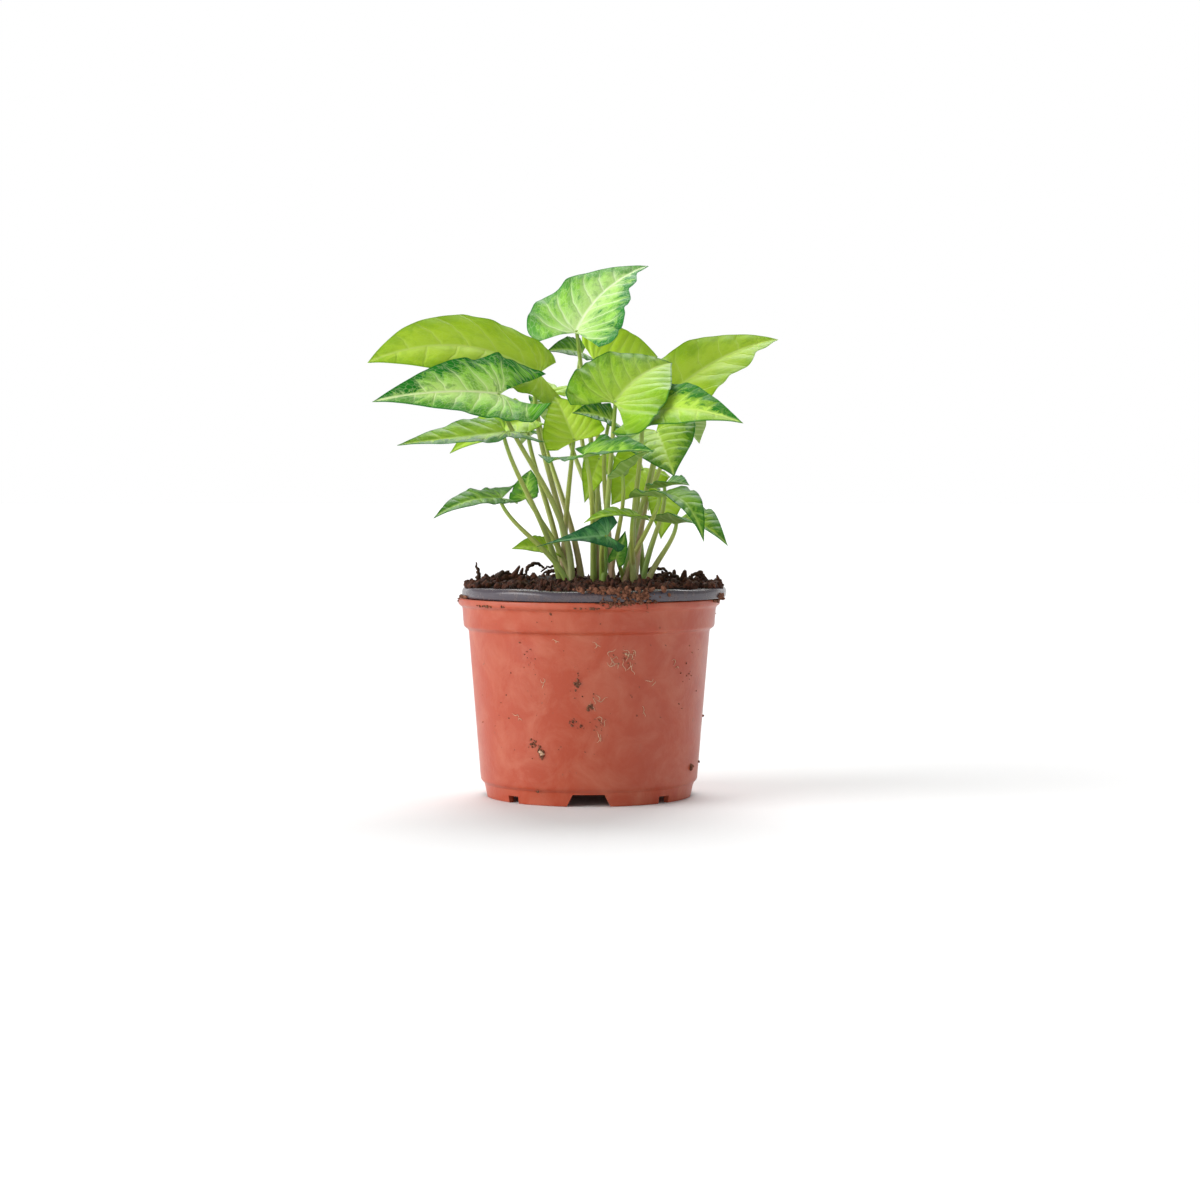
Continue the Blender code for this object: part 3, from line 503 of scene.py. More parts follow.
def moulded_terracotta_plastic():
    """Moulded polypropylene in terracotta colour: satin and dusty, with soil splashes."""
    made, tree, shader = new_finish("moulded_terracotta_polypropylene")
    where = add_node(tree, "ShaderNodeTexCoord").outputs["Object"]
    clouds = add_node(tree, "ShaderNodeTexNoise", {"Vector": where, "Scale": 22.0, "Detail": 4.0})
    colour = add_node(
        tree, "ShaderNodeMix",
        {"Factor": clouds, "A": linear("#9C3A1E"), "B": linear("#AE4626")}, data_type="RGBA",
    )
    # Dust lies as a pale film, in patches 10 to 30 mm across
    film = add_node(
        tree, "ShaderNodeTexNoise",
        {"Vector": where, "Scale": 60.0, "Detail": 6.0, "Roughness": 0.65, "Distortion": 0.6},
    )
    film = add_node(
        tree, "ShaderNodeMapRange",
        {"Value": film, "From Min": 0.42, "From Max": 0.78, "To Min": 0.0, "To Max": 0.6},
    )
    colour = add_node(
        tree, "ShaderNodeMix", {"Factor": film, "A": colour, "B": linear("#BE7358")}, data_type="RGBA"
    )
    # Dried splashes of soil, a few millimetres across at most
    drawn_out = add_node(tree, "ShaderNodeMapping", {"Vector": where, "Scale": (300, 300, 190)})
    splash = add_node(
        tree, "ShaderNodeTexNoise",
        {"Vector": drawn_out, "Scale": 1.0, "Detail": 4.0, "Roughness": 0.7, "Distortion": 0.8},
    )
    splash = add_node(
        tree, "ShaderNodeMapRange",
        {"Value": splash, "From Min": 0.67, "From Max": 0.74, "To Min": 0.0, "To Max": 0.7},
    )
    colour = add_node(
        tree, "ShaderNodeMix", {"Factor": splash, "A": colour, "B": linear("#6E4A36")}, data_type="RGBA"
    )
    wire(tree, colour, shader.inputs["Base Color"])
    rough = add_node(
        tree, "ShaderNodeMapRange",
        {"Value": clouds, "From Min": 0.2, "From Max": 0.8, "To Min": 0.28, "To Max": 0.46},
    )
    wire(tree, rough, shader.inputs["Roughness"])
    grain = add_node(tree, "ShaderNodeTexNoise", {"Vector": where, "Scale": 700.0, "Detail": 3.0})
    height = add_node(tree, "ShaderNodeMath", {0: splash, 1: 0.6, 2: grain}, operation="MULTIPLY_ADD")
    bump = add_node(tree, "ShaderNodeBump", {"Strength": 0.25, "Distance": 0.0003, "Height": height})
    wire(tree, bump, shader.inputs["Normal"])
    shader.inputs["IOR"].default_value = 1.49
    shader.inputs["Specular IOR Level"].default_value = 0.5
    return made


def grey_plastic():
    """Thin dark grey polystyrene: smoother and glossier than the outer pot, with soil dust."""
    made, tree, shader = new_finish("dark_grey_polystyrene")
    where = add_node(tree, "ShaderNodeTexCoord").outputs["Object"]
    dust = add_node(
        tree, "ShaderNodeTexNoise",
        {"Vector": where, "Scale": 180.0, "Detail": 5.0, "Roughness": 0.65},
    )
    share = add_node(
        tree, "ShaderNodeMapRange",
        {"Value": dust, "From Min": 0.5, "From Max": 0.75, "To Min": 0.0, "To Max": 0.7},
    )
    colour = add_node(
        tree, "ShaderNodeMix",
        {"Factor": share, "A": linear("#474048"), "B": linear("#5E4A42")}, data_type="RGBA",
    )
    wire(tree, colour, shader.inputs["Base Color"])
    rough = add_node(
        tree, "ShaderNodeMapRange",
        {"Value": dust, "From Min": 0.3, "From Max": 0.7, "To Min": 0.14, "To Max": 0.34},
    )
    wire(tree, rough, shader.inputs["Roughness"])
    bump = add_node(tree, "ShaderNodeBump", {"Strength": 0.2, "Distance": 0.0003, "Height": dust})
    wire(tree, bump, shader.inputs["Normal"])
    shader.inputs["IOR"].default_value = 1.55
    return made


def peat(name, dark, light, scale):
    """Peat, bark, dried soil or roots: dull and gritty, clouded between two colours."""
    made, tree, shader = new_finish(name)
    where = add_node(tree, "ShaderNodeTexCoord").outputs["Object"]
    clouds = add_node(
        tree, "ShaderNodeTexNoise",
        {"Vector": where, "Scale": scale, "Detail": 4.0, "Roughness": 0.7},
    )
    share = add_node(tree, "ShaderNodeMapRange", {"Value": clouds, "From Min": 0.35, "From Max": 0.68})
    colour = add_node(
        tree, "ShaderNodeMix", {"Factor": share, "A": linear(dark), "B": linear(light)}, data_type="RGBA"
    )
    wire(tree, colour, shader.inputs["Base Color"])
    grit = add_node(tree, "ShaderNodeTexNoise", {"Vector": where, "Scale": 1800.0, "Detail": 3.0})
    bump = add_node(tree, "ShaderNodeBump", {"Strength": 0.8, "Distance": 0.0004, "Height": grit})
    wire(tree, bump, shader.inputs["Normal"])
    shader.inputs["Roughness"].default_value = 0.75
    shader.inputs["Specular IOR Level"].default_value = 0.25
    return made


# Flesh, paler heart, mottling, veins, margin; how mottled, netted and veined, and the roughness
SKINS = {
    "lime": ("#A8CC24", "#BADA44", "#7AAA20", "#D6E88C", "#7CA41C", 0.6, 0.12, 0.35, 0.44),
    "pale": ("#96CE50", "#CEEA9C", "#25802C", "#E8F4CC", "#247430", 0.9, 0.3, 0.8, 0.44),
    "mottled": ("#8CD03C", "#D2F088", "#1F7A1A", "#E8F6BC", "#1A6C1E", 0.9, 0.35, 0.85, 0.42),
    "spotted": ("#94C22A", "#B6D64C", "#257016", "#D0E488", "#246E16", 0.9, 0.2, 0.4, 0.42),
    "dark": ("#64A024", "#98C242", "#246A12", "#BCD67E", "#22620F", 0.8, 0.15, 0.3, 0.40),
    "bluish": ("#3C8448", "#66A05A", "#145430", "#98C290", "#16502A", 0.9, 0.2, 0.45, 0.40),
}


# Blades


def side_width(u, full):
    """Half the width of a blade at a share u of its length, as a share of the widest."""
    return (1 - u**full) * (1 - POINT_PINCH * u**POINT_POWER)


def half_outline(u, full):
    """Inner and outer edge of half a blade at u, which runs from 0 to -1 along the lobe."""
    if u >= 0:
        return 0.0, side_width(u, full)
    share = min(1.0, -u)
    return LOBE_SPREAD * share**SINUS_POWER, 1 - (1 - LOBE_SPREAD) * share**LOBE_ROUND


def leaf_axes(leaf):
    """Base, length and the three directions of a leaf: along, to its left and up."""
    base, tip = Vector(leaf.base), Vector(leaf.tip)
    along = (tip - base).normalized()
    face = Vector(leaf.face)
    up = (face - along * face.dot(along)).normalized()
    return base, (tip - base).length, along, up.cross(along), up


def midrib_frame(leaf, length, u):
    """The midrib at u: its point and the directions to its left and up, in the leaf's axes."""
    ahead = max(0.0, u)
    bow, slope = 4 * ahead * (1 - ahead), 4 * (1 - 2 * ahead)
    point = Vector((ahead, leaf.sweep * bow, leaf.arch * bow)) * length
    along = Vector((1, leaf.sweep * slope, leaf.arch * slope)).normalized()
    left = Vector((-along.y, along.x, 0)).normalized()
    if u < 0:
        point += along * u * length
    return point, left, along.cross(left)


def vein_field(leaf, length, place, y, side):
    """Number of the vein at a place of the flat blade, counted in parts, and their spacing."""
    spacing = max(LEAST_SPACING, length / VEIN_PAIRS)
    x = place * length
    ahead = x - VEIN_LEAN * y - VEIN_CURL * y * y
    offset = 0.0 if side > 0 else 0.45
    if ahead >= 0:
        return ahead / spacing + offset, spacing * 0.87
    reach = max(0.5, math.hypot(x, y))
    turn = max(0.35, (VEIN_LEAN * x + y) / reach)
    return ahead / reach * LOBE_VEINS + offset, reach / LOBE_VEINS / turn


def blade_sample(leaf, length, u, side, across, seed):
    """A point of the blade in the leaf's axes, with what its maps hold there."""
    inner, outer = half_outline(u, leaf.full)
    pick = 0 if side > 0 else 1
    fold = math.radians(leaf.fold[pick])
    ahead, behind = max(0.0, u), max(0.0, -u)
    place = ahead - behind * leaf.lobes[pick]
    nick = noise.noise(Vector((place * length * UNEVEN_SIZE, seed * 3.7, side * 5.0)))
    change = UNEVEN * nick * min(1.0, 4 * (1 - ahead), 4 * (1 - behind))
    for bite_side, bite_place, depth, span in leaf.nicks:
        if bite_side == side:
            change += depth * math.exp(-(((place - bite_place) / span) ** 2))
    outer = max(inner, outer * (1 + change))
    reach = inner + (outer - inner) * across
    half = leaf.width / 2 * reach
    phase = 2 * math.pi * leaf.waves * place + (WAVE_LEFT, WAVE_RIGHT)[pick]
    ripple = leaf.wave * leaf.width * reach**2 * math.sin(phase) * math.sqrt(1 - ahead)
    crinkle = math.sin(2 * math.pi * CRINKLES * place + seed * 1.7 + side)
    crinkle += 0.6 * math.sin(2 * math.pi * CRINKLES * 1.7 * place + seed * 2.9 - side)
    ripple += CRINKLE * leaf.width * reach**4 * crinkle * math.sqrt(1 - ahead)
    rise = half * math.sin(fold) + leaf.lift[pick] * behind**2 + ripple

    ray, gap = vein_field(leaf, length, place, half, side)
    rib = half if u >= 0 else math.hypot(place * length, half)
    rim = (1 - across) * (outer - inner) * leaf.width / 2
    if u < 0:
        rim = min(rim, across * (outer - inner) * leaf.width / 2 + (1 - behind) * 6)
    puff = PUFF * math.sin(math.pi * ray) ** 2 * min(1.0, rib / 5) * min(1.0, rim / 4)
    groove = RIB_DEPTH * math.exp(-((half / RIB_WIDTH) ** 2)) if u >= 0 else 0.0
    rise += (puff - groove) * min(1.0, length / 40)

    offset = Vector((side * half * math.cos(fold), rise))
    offset.rotate(Matrix.Rotation(math.radians(leaf.twist) * ahead, 2))
    point, left, above = midrib_frame(leaf, length, place)
    maps = ((ray, gap), (rib, rim), (leaf.mottle[pick], seed * 7.3))
    return point + left * offset.x + above * offset.y, maps, rim


def blade_rows():
    """Shares of the length at which a blade has its rows, closer together at its tip."""
    rows = [1 - (k / ROWS_AHEAD) ** 1.25 for k in range(ROWS_AHEAD)] + [0.0]
    return rows + [-(k + 1) / ROWS_BEHIND for k in range(ROWS_BEHIND)]


def blade_sheet(leaf, seed):
    """A blade's middle surface: points, their distances to the margin, faces, maps of corners."""
    base, length, along, left, up = leaf_axes(leaf)
    rows = blade_rows()
    index, points, rims, faces, corners = {}, [], [], [], []
    for side in (1, -1):
        for row in range(len(rows) - 1):
            for column in range(COLUMNS):
                face, maps = [], []
                for r, c in ((row, column), (row + 1, column), (row + 1, column + 1), (row, column + 1)):
                    across = c / COLUMNS
                    if r == 0:
                        key = "tip"
                    elif r == len(rows) - 1:
                        key = ("lobe", side)
                    elif rows[r] >= 0 and c == 0:
                        key = ("midrib", r)
                    else:
                        key = (r, side, c)
                    point, values, rim = blade_sample(leaf, length, rows[r], side, across, seed)
                    if key not in index:
                        index[key] = len(points)
                        points.append(base + along * point.x + left * point.y + up * point.z)
                        rims.append(rim)
                    if index[key] not in face:
                        face.append(index[key])
                        maps.append(values)
                if len(face) > 2:
                    turn = slice(None, None, 1 if side < 0 else -1)
                    faces.append(tuple(face[turn]))
                    corners.append(maps[turn])
    return points, rims, faces, corners


def blade_solid(points, rims, faces, corners):
    """The sheet as a closed blade that thins to its edge, with a map for every corner."""
    normals = [Vector() for _ in points]
    for face in faces:
        normal = (points[face[1]] - points[face[0]]).cross(points[face[2]] - points[face[0]])
        for k in face:
            normals[k] += normal
    count = len(points)
    push = []
    for normal, rim in zip(normals, rims):
        share = min(1.0, max(0.0, rim) / EDGE_REACH)
        push.append(normal.normalized() * (BLADE_EDGE + (BLADE_MIDDLE - BLADE_EDGE) * share) / 2)
    vertices = [p + d for p, d in zip(points, push)] + [p - d for p, d in zip(points, push)]
    solid = list(faces) + [tuple(count + k for k in face[::-1]) for face in faces]
    maps = list(corners) + [c[::-1] for c in corners]
    known = {}
    for face, corner in zip(faces, corners):
        for k in range(len(face)):
            known[face[k], face[(k + 1) % len(face)]] = (corner[k], corner[(k + 1) % len(face)])
    for (a, b), (at_a, at_b) in sorted(known.items(), key=lambda item: item[0]):
        if (b, a) not in known:
            solid.append((b, a, count + a, count + b))
            maps.append([at_b, at_a, at_a, at_b])
    return vertices, solid, maps


def blade(leaf, seed, skin, underside):
    """One leaf blade with its maps, skin above and underside below."""
    points, rims, faces, corners = blade_sheet(leaf, seed)
    vertices, solid, maps = blade_solid(points, rims, faces, corners)
    piece = add_mesh(leaf.name + "_blade", vertices, solid)
    mesh = piece.data
    flat = [value for face in maps for value in face]
    for number, name in enumerate(("veins", "place", "patch")):
        layer = mesh.uv_layers.new(name=name)
        layer.data.foreach_set("uv", [c for value in flat for c in value[number]])
    mesh.materials.append(skin)
    mesh.materials.append(underside)
    lower = [1 if len(faces) <= k < 2 * len(faces) else 0 for k in range(len(solid))]
    mesh.polygons.foreach_set("material_index", lower)
    mesh.shade_smooth()
    mesh.set_sharp_from_angle(angle=math.radians(60))
    dress(piece, [leaf.name])
    return piece


# Stalks


def bezier(a, b, c, d, t):
    s = 1 - t
    return a * s**3 + b * (3 * s * s * t) + c * (3 * s * t * t) + d * t**3


def stalk_path(leaf, number):
    """Points up a stalk, from its foot in the soil to the midrib of its blade."""
    x, y = PLANTLETS[leaf.plantlet]
    ring, angle = (STALK_CIRCLE if number else 0.0), number * GOLDEN_ANGLE
    foot = Vector((x + ring * math.cos(angle), y + ring * math.sin(angle), SOIL_CROWN - FOOT_DEPTH))
    base, length, *axes = leaf_axes(leaf)
    seat, _, above = midrib_frame(leaf, length, STALK_SEAT / length)
    seat, up = (sum((axis * share for axis, share in zip(axes, v)), Vector()) for v in (seat, above))
    seat += base
    straight, span = (seat - foot).normalized(), (seat - foot).length
    arrive = (straight + up * STALK_TURN).normalized()
    side = Vector((leaf.bow[0], leaf.bow[1], 0))
    leave = straight * STALK_LEAN + Vector((0, 0, STALK_UPRIGHT))
    first = foot + leave * (span * STALK_RISE) + side
    second = seat - arrive * (span * STALK_END) + side / 2
    return [bezier(foot, first, second, seat, k / STALK_STEPS) for k in range(STALK_STEPS + 1)]


def stalk_grower(finish):
    """Turns paths into round tapering stalks: their radius comes with each point."""
    tree, given = new_grower("stalks", ["Sides"])
    paths = add_node(tree, "GeometryNodeMeshToCurve", {"Mesh": given.outputs["Geometry"]})
    radius = add_node(tree, "GeometryNodeInputNamedAttribute", {"Name": "thickness"}, data_type="FLOAT")
    ring = add_node(
        tree, "GeometryNodeCurvePrimitiveCircle", {"Resolution": given.outputs["Sides"], "Radius": 1.0}
    )
    tubes = add_node(
        tree, "GeometryNodeCurveToMesh",
        {"Curve": paths, "Profile Curve": ring, "Scale": radius, "Fill Caps": True},
    )
    smooth = add_node(tree, "GeometryNodeSetShadeSmooth", {"Geometry": tubes})
    real = add_node(tree, "GeometryNodeRealizeInstances", {"Geometry": smooth})
    done = add_node(tree, "GeometryNodeSetMaterial", {"Geometry": real, "Material": finish})
    add_node(tree, "NodeGroupOutput", {"Geometry": done})
    return tree


def plantlet_stalks(name, grower, draw):
    """All the leaf stalks of one plantlet as one piece."""
    vertices, edges, thickness, shares, tints = [], [], [], [], []
    for number, leaf in enumerate(own for own in LEAVES if own.plantlet == name):
        path, first, tint = stalk_path(leaf, number), len(vertices), draw.random()
        small = 0.8 + 0.2 * min(1.0, leaf.width / 30)
        for k, point in enumerate(path):
            share = k / STALK_STEPS
            vertices.append(tuple(point))
            radius = STALK_FOOT + (STALK_TOP - STALK_FOOT) * share**STALK_TAPER
            thickness.append(radius * small * MM)
            shares.append(share)
            tints.append(tint)
        edges += [(first + k, first + k + 1) for k in range(STALK_STEPS)]
    piece = add_mesh(name + "_stalks", vertices, [], edges)
    for label, values in (("thickness", thickness), ("share", shares), ("tint", tints)):
        layer = piece.data.attributes.new(label, "FLOAT", "POINT")
        layer.data.foreach_set("value", values)
    grow(piece, grower, {"Sides": STALK_SIDES})
    dress(piece, [name])
    return piece


# Pots

TURNED_STEPS, FILLET_STEPS, WALL_STEP = 192, 4, 3.0
WALL = 1.3
FOOT_RADIUS, FOOT_TOP_RADIUS, FOOT_HEIGHT, FOOT_WALL = 45.8, 46.7, 6.0, 2.6
BODY_RADIUS, BODY_TOP_RADIUS, BODY_TOP = 48.2, 53.6, 74.0
BAND_RADIUS, BAND_TOP_RADIUS, BAND_TOP = 55.7, 56.4, 84.0
LIP_RADIUS, LIP_TOP = 58.2, 88.0
STEP_HEIGHT = 1.4
NOTCH_BOTTOM, NOTCH_TOP, NOTCH_HEIGHT = 18.9, 13.6, 5.3
SLOT_WIDTH, SLOT_HEIGHT = 6.0, 3.2
DRAIN_RADIUS, DRAIN_CIRCLE = 4.5, 32.0
INNER_SHIFT, INNER_WALL = 2.2, 1.0
RIM_RADIUS, RIM_HEIGHT, CLEARANCE = 58.8, 4.6, 0.3
INNER_TOP_RADIUS, INNER_FLOOR_RADIUS = 50.4, 43.6
DENTS = [(-36.0, 78.0, 0.9, 3.5), (-30.0, 71.0, 0.6, 5.0), (24.0, 60.0, 0.35, 9.0), (8.0, 30.0, 0.3, 12.0)]


def rounded(profile):
    """A closed half section with a small round at each corner: (radius, height, round)."""
    out, count = [], len(profile)
    for k, (r, z, small) in enumerate(profile):
        here = Vector((r, z))
        before = Vector(profile[k - 1][:2]) - here
        after = Vector(profile[(k + 1) % count][:2]) - here
        small = min(small, before.length / 2.2, after.length / 2.2)
        if small <= 0:
            out.append((r, z))
            continue
        start, end = here + before.normalized() * small, here + after.normalized() * small
        for j in range(FILLET_STEPS + 1):
            t = j / FILLET_STEPS
            point = start * (1 - t) ** 2 + here * (2 * t * (1 - t)) + end * t * t
            out.append(tuple(point))
    return out


def stepped(profile):
    """The half section with points added along its long runs."""
    out = []
    for k, here in enumerate(profile):
        there = profile[(k + 1) % len(profile)]
        run = math.hypot(there[0] - here[0], there[1] - here[1])
        pieces = max(1, int(run / WALL_STEP))
        for j in range(pieces):
            t = j / pieces
            out.append((here[0] + (there[0] - here[0]) * t, here[1] + (there[1] - here[1]) * t))
    return out


def turned(name, profile, shape, centre_x=0.0):
    """A half section turned round an upright axis, each point moved as shape says."""
    profile = stepped(rounded(profile))
    count, vertices, faces = len(profile), [], []
    for k in range(TURNED_STEPS):
        a = 2 * math.pi * k / TURNED_STEPS
        for r, z in profile:
            r, z = shape(r, z, a)
            vertices.append((centre_x + r * math.cos(a), r * math.sin(a), z))
    for k in range(TURNED_STEPS):
        here, there = k * count, (k + 1) % TURNED_STEPS * count
        for i in range(count):
            j = (i + 1) % count
            faces.append((here + i, here + j, there + j, there + i))
    made = add_mesh(name, vertices, faces)
    body = bmesh.new()
    body.from_mesh(made.data)
    bmesh.ops.remove_doubles(body, verts=body.verts, dist=MM * MM)
    bmesh.ops.dissolve_degenerate(body, edges=body.edges, dist=MM * MM)
    bmesh.ops.recalc_face_normals(body, faces=body.faces)
    body.to_mesh(made.data)
    body.free()
    return made


def cutter(outline, low, high, tilt):
    """A closed wedge from an outline of (across, height), pulled outwards along an angle."""
    count = len(outline)
    c, s = math.cos(tilt), math.sin(tilt)
    vertices = [(r * c - y * s, r * s + y * c, z) for r in (low, high) for y, z in outline]
    faces = [tuple(range(count))[::-1], tuple(range(count, 2 * count))]
    faces += [(i, (i + 1) % count, count + (i + 1) % count, count + i) for i in range(count)]
    return vertices, faces


def cut_out(piece, shapes):
    """Cuts closed shapes out of a piece and keeps its mesh plain."""
    vertices, faces = [], []
    for points, sides in shapes:
        faces += [tuple(len(vertices) + i for i in side) for side in sides]
        vertices += points
    tool = add_mesh("cutter", vertices, faces)
    boolean = piece.modifiers.new("cut", "BOOLEAN")
    boolean.operation, boolean.solver, boolean.object = "DIFFERENCE", "EXACT", tool
    settle(piece)
    bpy.data.objects.remove(tool, do_unlink=True)


def foot_cutters():
    """The notches and slots of the foot ring and the drain holes of the floor."""
    shapes = []
    for k in range(8):
        bottom, top, height = (SLOT_WIDTH, SLOT_WIDTH, SLOT_HEIGHT) if k % 2 else (
            NOTCH_BOTTOM, NOTCH_TOP, NOTCH_HEIGHT)
        flare = (bottom - top) / height
        outline = [(-bottom / 2 - flare, -2), (bottom / 2 + flare, -2), (top / 2, height),
                   (-top / 2, height)]
        shapes.append(cutter(outline, FOOT_RADIUS - 8, FOOT_RADIUS + 6, k * math.pi / 4))
    for k in range(4):
        a = k * math.pi / 2
        x, y = DRAIN_CIRCLE * math.cos(a), DRAIN_CIRCLE * math.sin(a)
        ring = [(x + DRAIN_RADIUS * math.cos(b), y + DRAIN_RADIUS * math.sin(b))
                for b in (2 * math.pi * j / 24 for j in range(24))]
        vertices = [(px, py, z) for z in (FOOT_HEIGHT - WALL, FOOT_HEIGHT + 2 * WALL) for px, py in ring]
        faces = [tuple(range(24))[::-1], tuple(range(24, 48))]
        faces += [(i, (i + 1) % 24, 24 + (i + 1) % 24, 24 + i) for i in range(24)]
        shapes.append((vertices, faces))
    return shapes


def dented(r, z, a):
    """Soft dents and a faint waviness of the thin moulded wall."""
    front = math.degrees(a) + 90
    front = (front + 180) % 360 - 180
    for angle, height, depth, size in DENTS:
        away = math.hypot((front - angle) * math.pi / 180 * r, z - height) / size
        r -= depth * math.exp(-away * away)
    return r + 0.12 * math.sin(3 * a + 1) * (z / 88) if r > 10 else r, z


def terracotta_pot(finish):
    foot_in = FOOT_RADIUS - FOOT_WALL
    floor_low, floor_high = FOOT_HEIGHT, FOOT_HEIGHT + WALL
    profile = [
        (0, floor_low, 0),
        (foot_in, floor_low, 0.5),
        (foot_in, 0, 0.4),
        (FOOT_RADIUS, 0, 0.6),
        (FOOT_TOP_RADIUS, FOOT_HEIGHT, 0.5),
        (BODY_RADIUS, FOOT_HEIGHT + STEP_HEIGHT, 0.9),
        (BODY_TOP_RADIUS, BODY_TOP, 0.9),
        (BAND_RADIUS, BODY_TOP + STEP_HEIGHT, 0.9),
        (BAND_TOP_RADIUS, BAND_TOP, 0.7),
        (LIP_RADIUS, BAND_TOP + STEP_HEIGHT, 0.8),
        (LIP_RADIUS, LIP_TOP, 0.7),
        (BAND_TOP_RADIUS - WALL, LIP_TOP, 0.5),
        (BAND_RADIUS - WALL, BODY_TOP + STEP_HEIGHT + WALL, 0.5),
        (BODY_TOP_RADIUS - WALL, BODY_TOP, 0.5),
        (BODY_RADIUS - WALL, floor_high, 0.8),
        (0, floor_high, 0),
    ]
    pot = turned("terracotta_pot", profile, dented)
    cut_out(pot, foot_cutters())
    pot.data.materials.append(finish)
    pot.data.shade_smooth()
    pot.data.set_sharp_from_angle(angle=math.radians(40))
    dress(pot, ["outer_pot"])


def inner_radius(z):
    """Outside of the inner pot's wall at a height."""
    share = (z - FOOT_HEIGHT) / (LIP_TOP - FOOT_HEIGHT)
    return INNER_FLOOR_RADIUS + share * (INNER_TOP_RADIUS - INNER_FLOOR_RADIUS)


def wavy_rim(r, z, a):
    """The thin rim is a little wavy all round."""
    if z < LIP_TOP:
        return r, z
    wave = 0.25 * math.sin(5 * a + 0.6) + 0.15 * math.sin(11 * a)
    return r + wave * 0.6, z + wave * (z - LIP_TOP) / RIM_HEIGHT


def grey_liner(finish):
    floor = FOOT_HEIGHT + WALL + CLEARANCE
    skirt = LIP_TOP + CLEARANCE
    top = skirt + RIM_HEIGHT
    flange = top - INNER_WALL
    profile = [
        (0, floor, 0),
        (inner_radius(floor), floor, 0.6),
        (inner_radius(flange), flange, 0.4),
        (RIM_RADIUS - INNER_WALL, flange, 0.4),
        (RIM_RADIUS - INNER_WALL, skirt, 0.3),
        (RIM_RADIUS - 0.5, skirt, 0.3),
        (RIM_RADIUS, skirt + 1.7, 1.3),
        (RIM_RADIUS - 0.1, top - 1.3, 1.0),
        (RIM_RADIUS - 1.2, top, 1.0),
        (inner_radius(top) - INNER_WALL, top, 1.2),
        (inner_radius(floor) - INNER_WALL, floor + INNER_WALL, 0.5),
        (0, floor + INNER_WALL, 0),
    ]
    liner = turned("dark_grey_liner", profile, wavy_rim, INNER_SHIFT)
    liner.data.materials.append(finish)
    liner.data.shade_smooth()
    liner.data.set_sharp_from_angle(angle=math.radians(40))
    dress(liner, ["inner_pot"])


# Soil

SOIL_EDGE = 90.4
SOIL_SEED, LUMPS, LUMP_REACH, LUMP_LOW, LUMP_HIGH = 11, 46, 46.0, -1.0, 1.7
LUMP_SMALL, LUMP_LARGE = 3.5, 7.0
MOUND_RINGS, MOUND_SPOKES = 34, 120
HUMPS = [(-44, 10, 8, 3.4), (-30, 18, 9, 2.8), (-14, 26, 8, 2.2), (-49, -6, 5, 3.0), (38, 16, 8, 2.4),
         (50, 4, 6, 3.0), (30, 24, 8, 2.0), (0, 32, 12, 1.5), (-34, -20, 9, 1.2), (32, -28, 8, 0.8)]
HEAPED, HEAP_POWER = 2.8, 6
GRAIN_SIZE, GRAIN_HEIGHT = 0.22, 1.1
SPILL_FROM, SPILL_REACH = 66.0, (49.5, 56.6, 93.6)


def soil_radius(z):
    return inner_radius(z) - INNER_WALL - CLEARANCE


def soil_lumps():
    draw = random.Random(SOIL_SEED)
    lumps = []
    for _ in range(LUMPS):
        angle, reach = draw.uniform(0, 2 * math.pi), LUMP_REACH * math.sqrt(draw.random())
        tall, size = draw.uniform(LUMP_LOW, LUMP_HIGH), draw.uniform(LUMP_SMALL, LUMP_LARGE)
        lumps.append((reach * math.cos(angle), reach * math.sin(angle), size, tall))
    return lumps


def soil_height(x, y, lumps):
    """Height of the soil at a place: a mound with humps and grains, heaped towards the rim."""
    share = min(1.0, math.hypot(x - INNER_SHIFT, y) / soil_radius(SOIL_EDGE))
    height = SOIL_EDGE + (SOIL_CROWN - SOIL_EDGE) * (1 - share * share)
    for cx, cy, size, tall in lumps:
        height += tall * math.exp(-((x - cx) ** 2 + (y - cy) ** 2) / size**2)
    height += HEAPED * share**HEAP_POWER
    fade = min(1.0, (1 - share) * 8)
    grains = noise.noise(Vector((x, y, 3.0)) * GRAIN_SIZE) + 0.5 * noise.noise(Vector((x, y, 9.0)) * 0.6)
    return height + grains * GRAIN_HEIGHT * fade


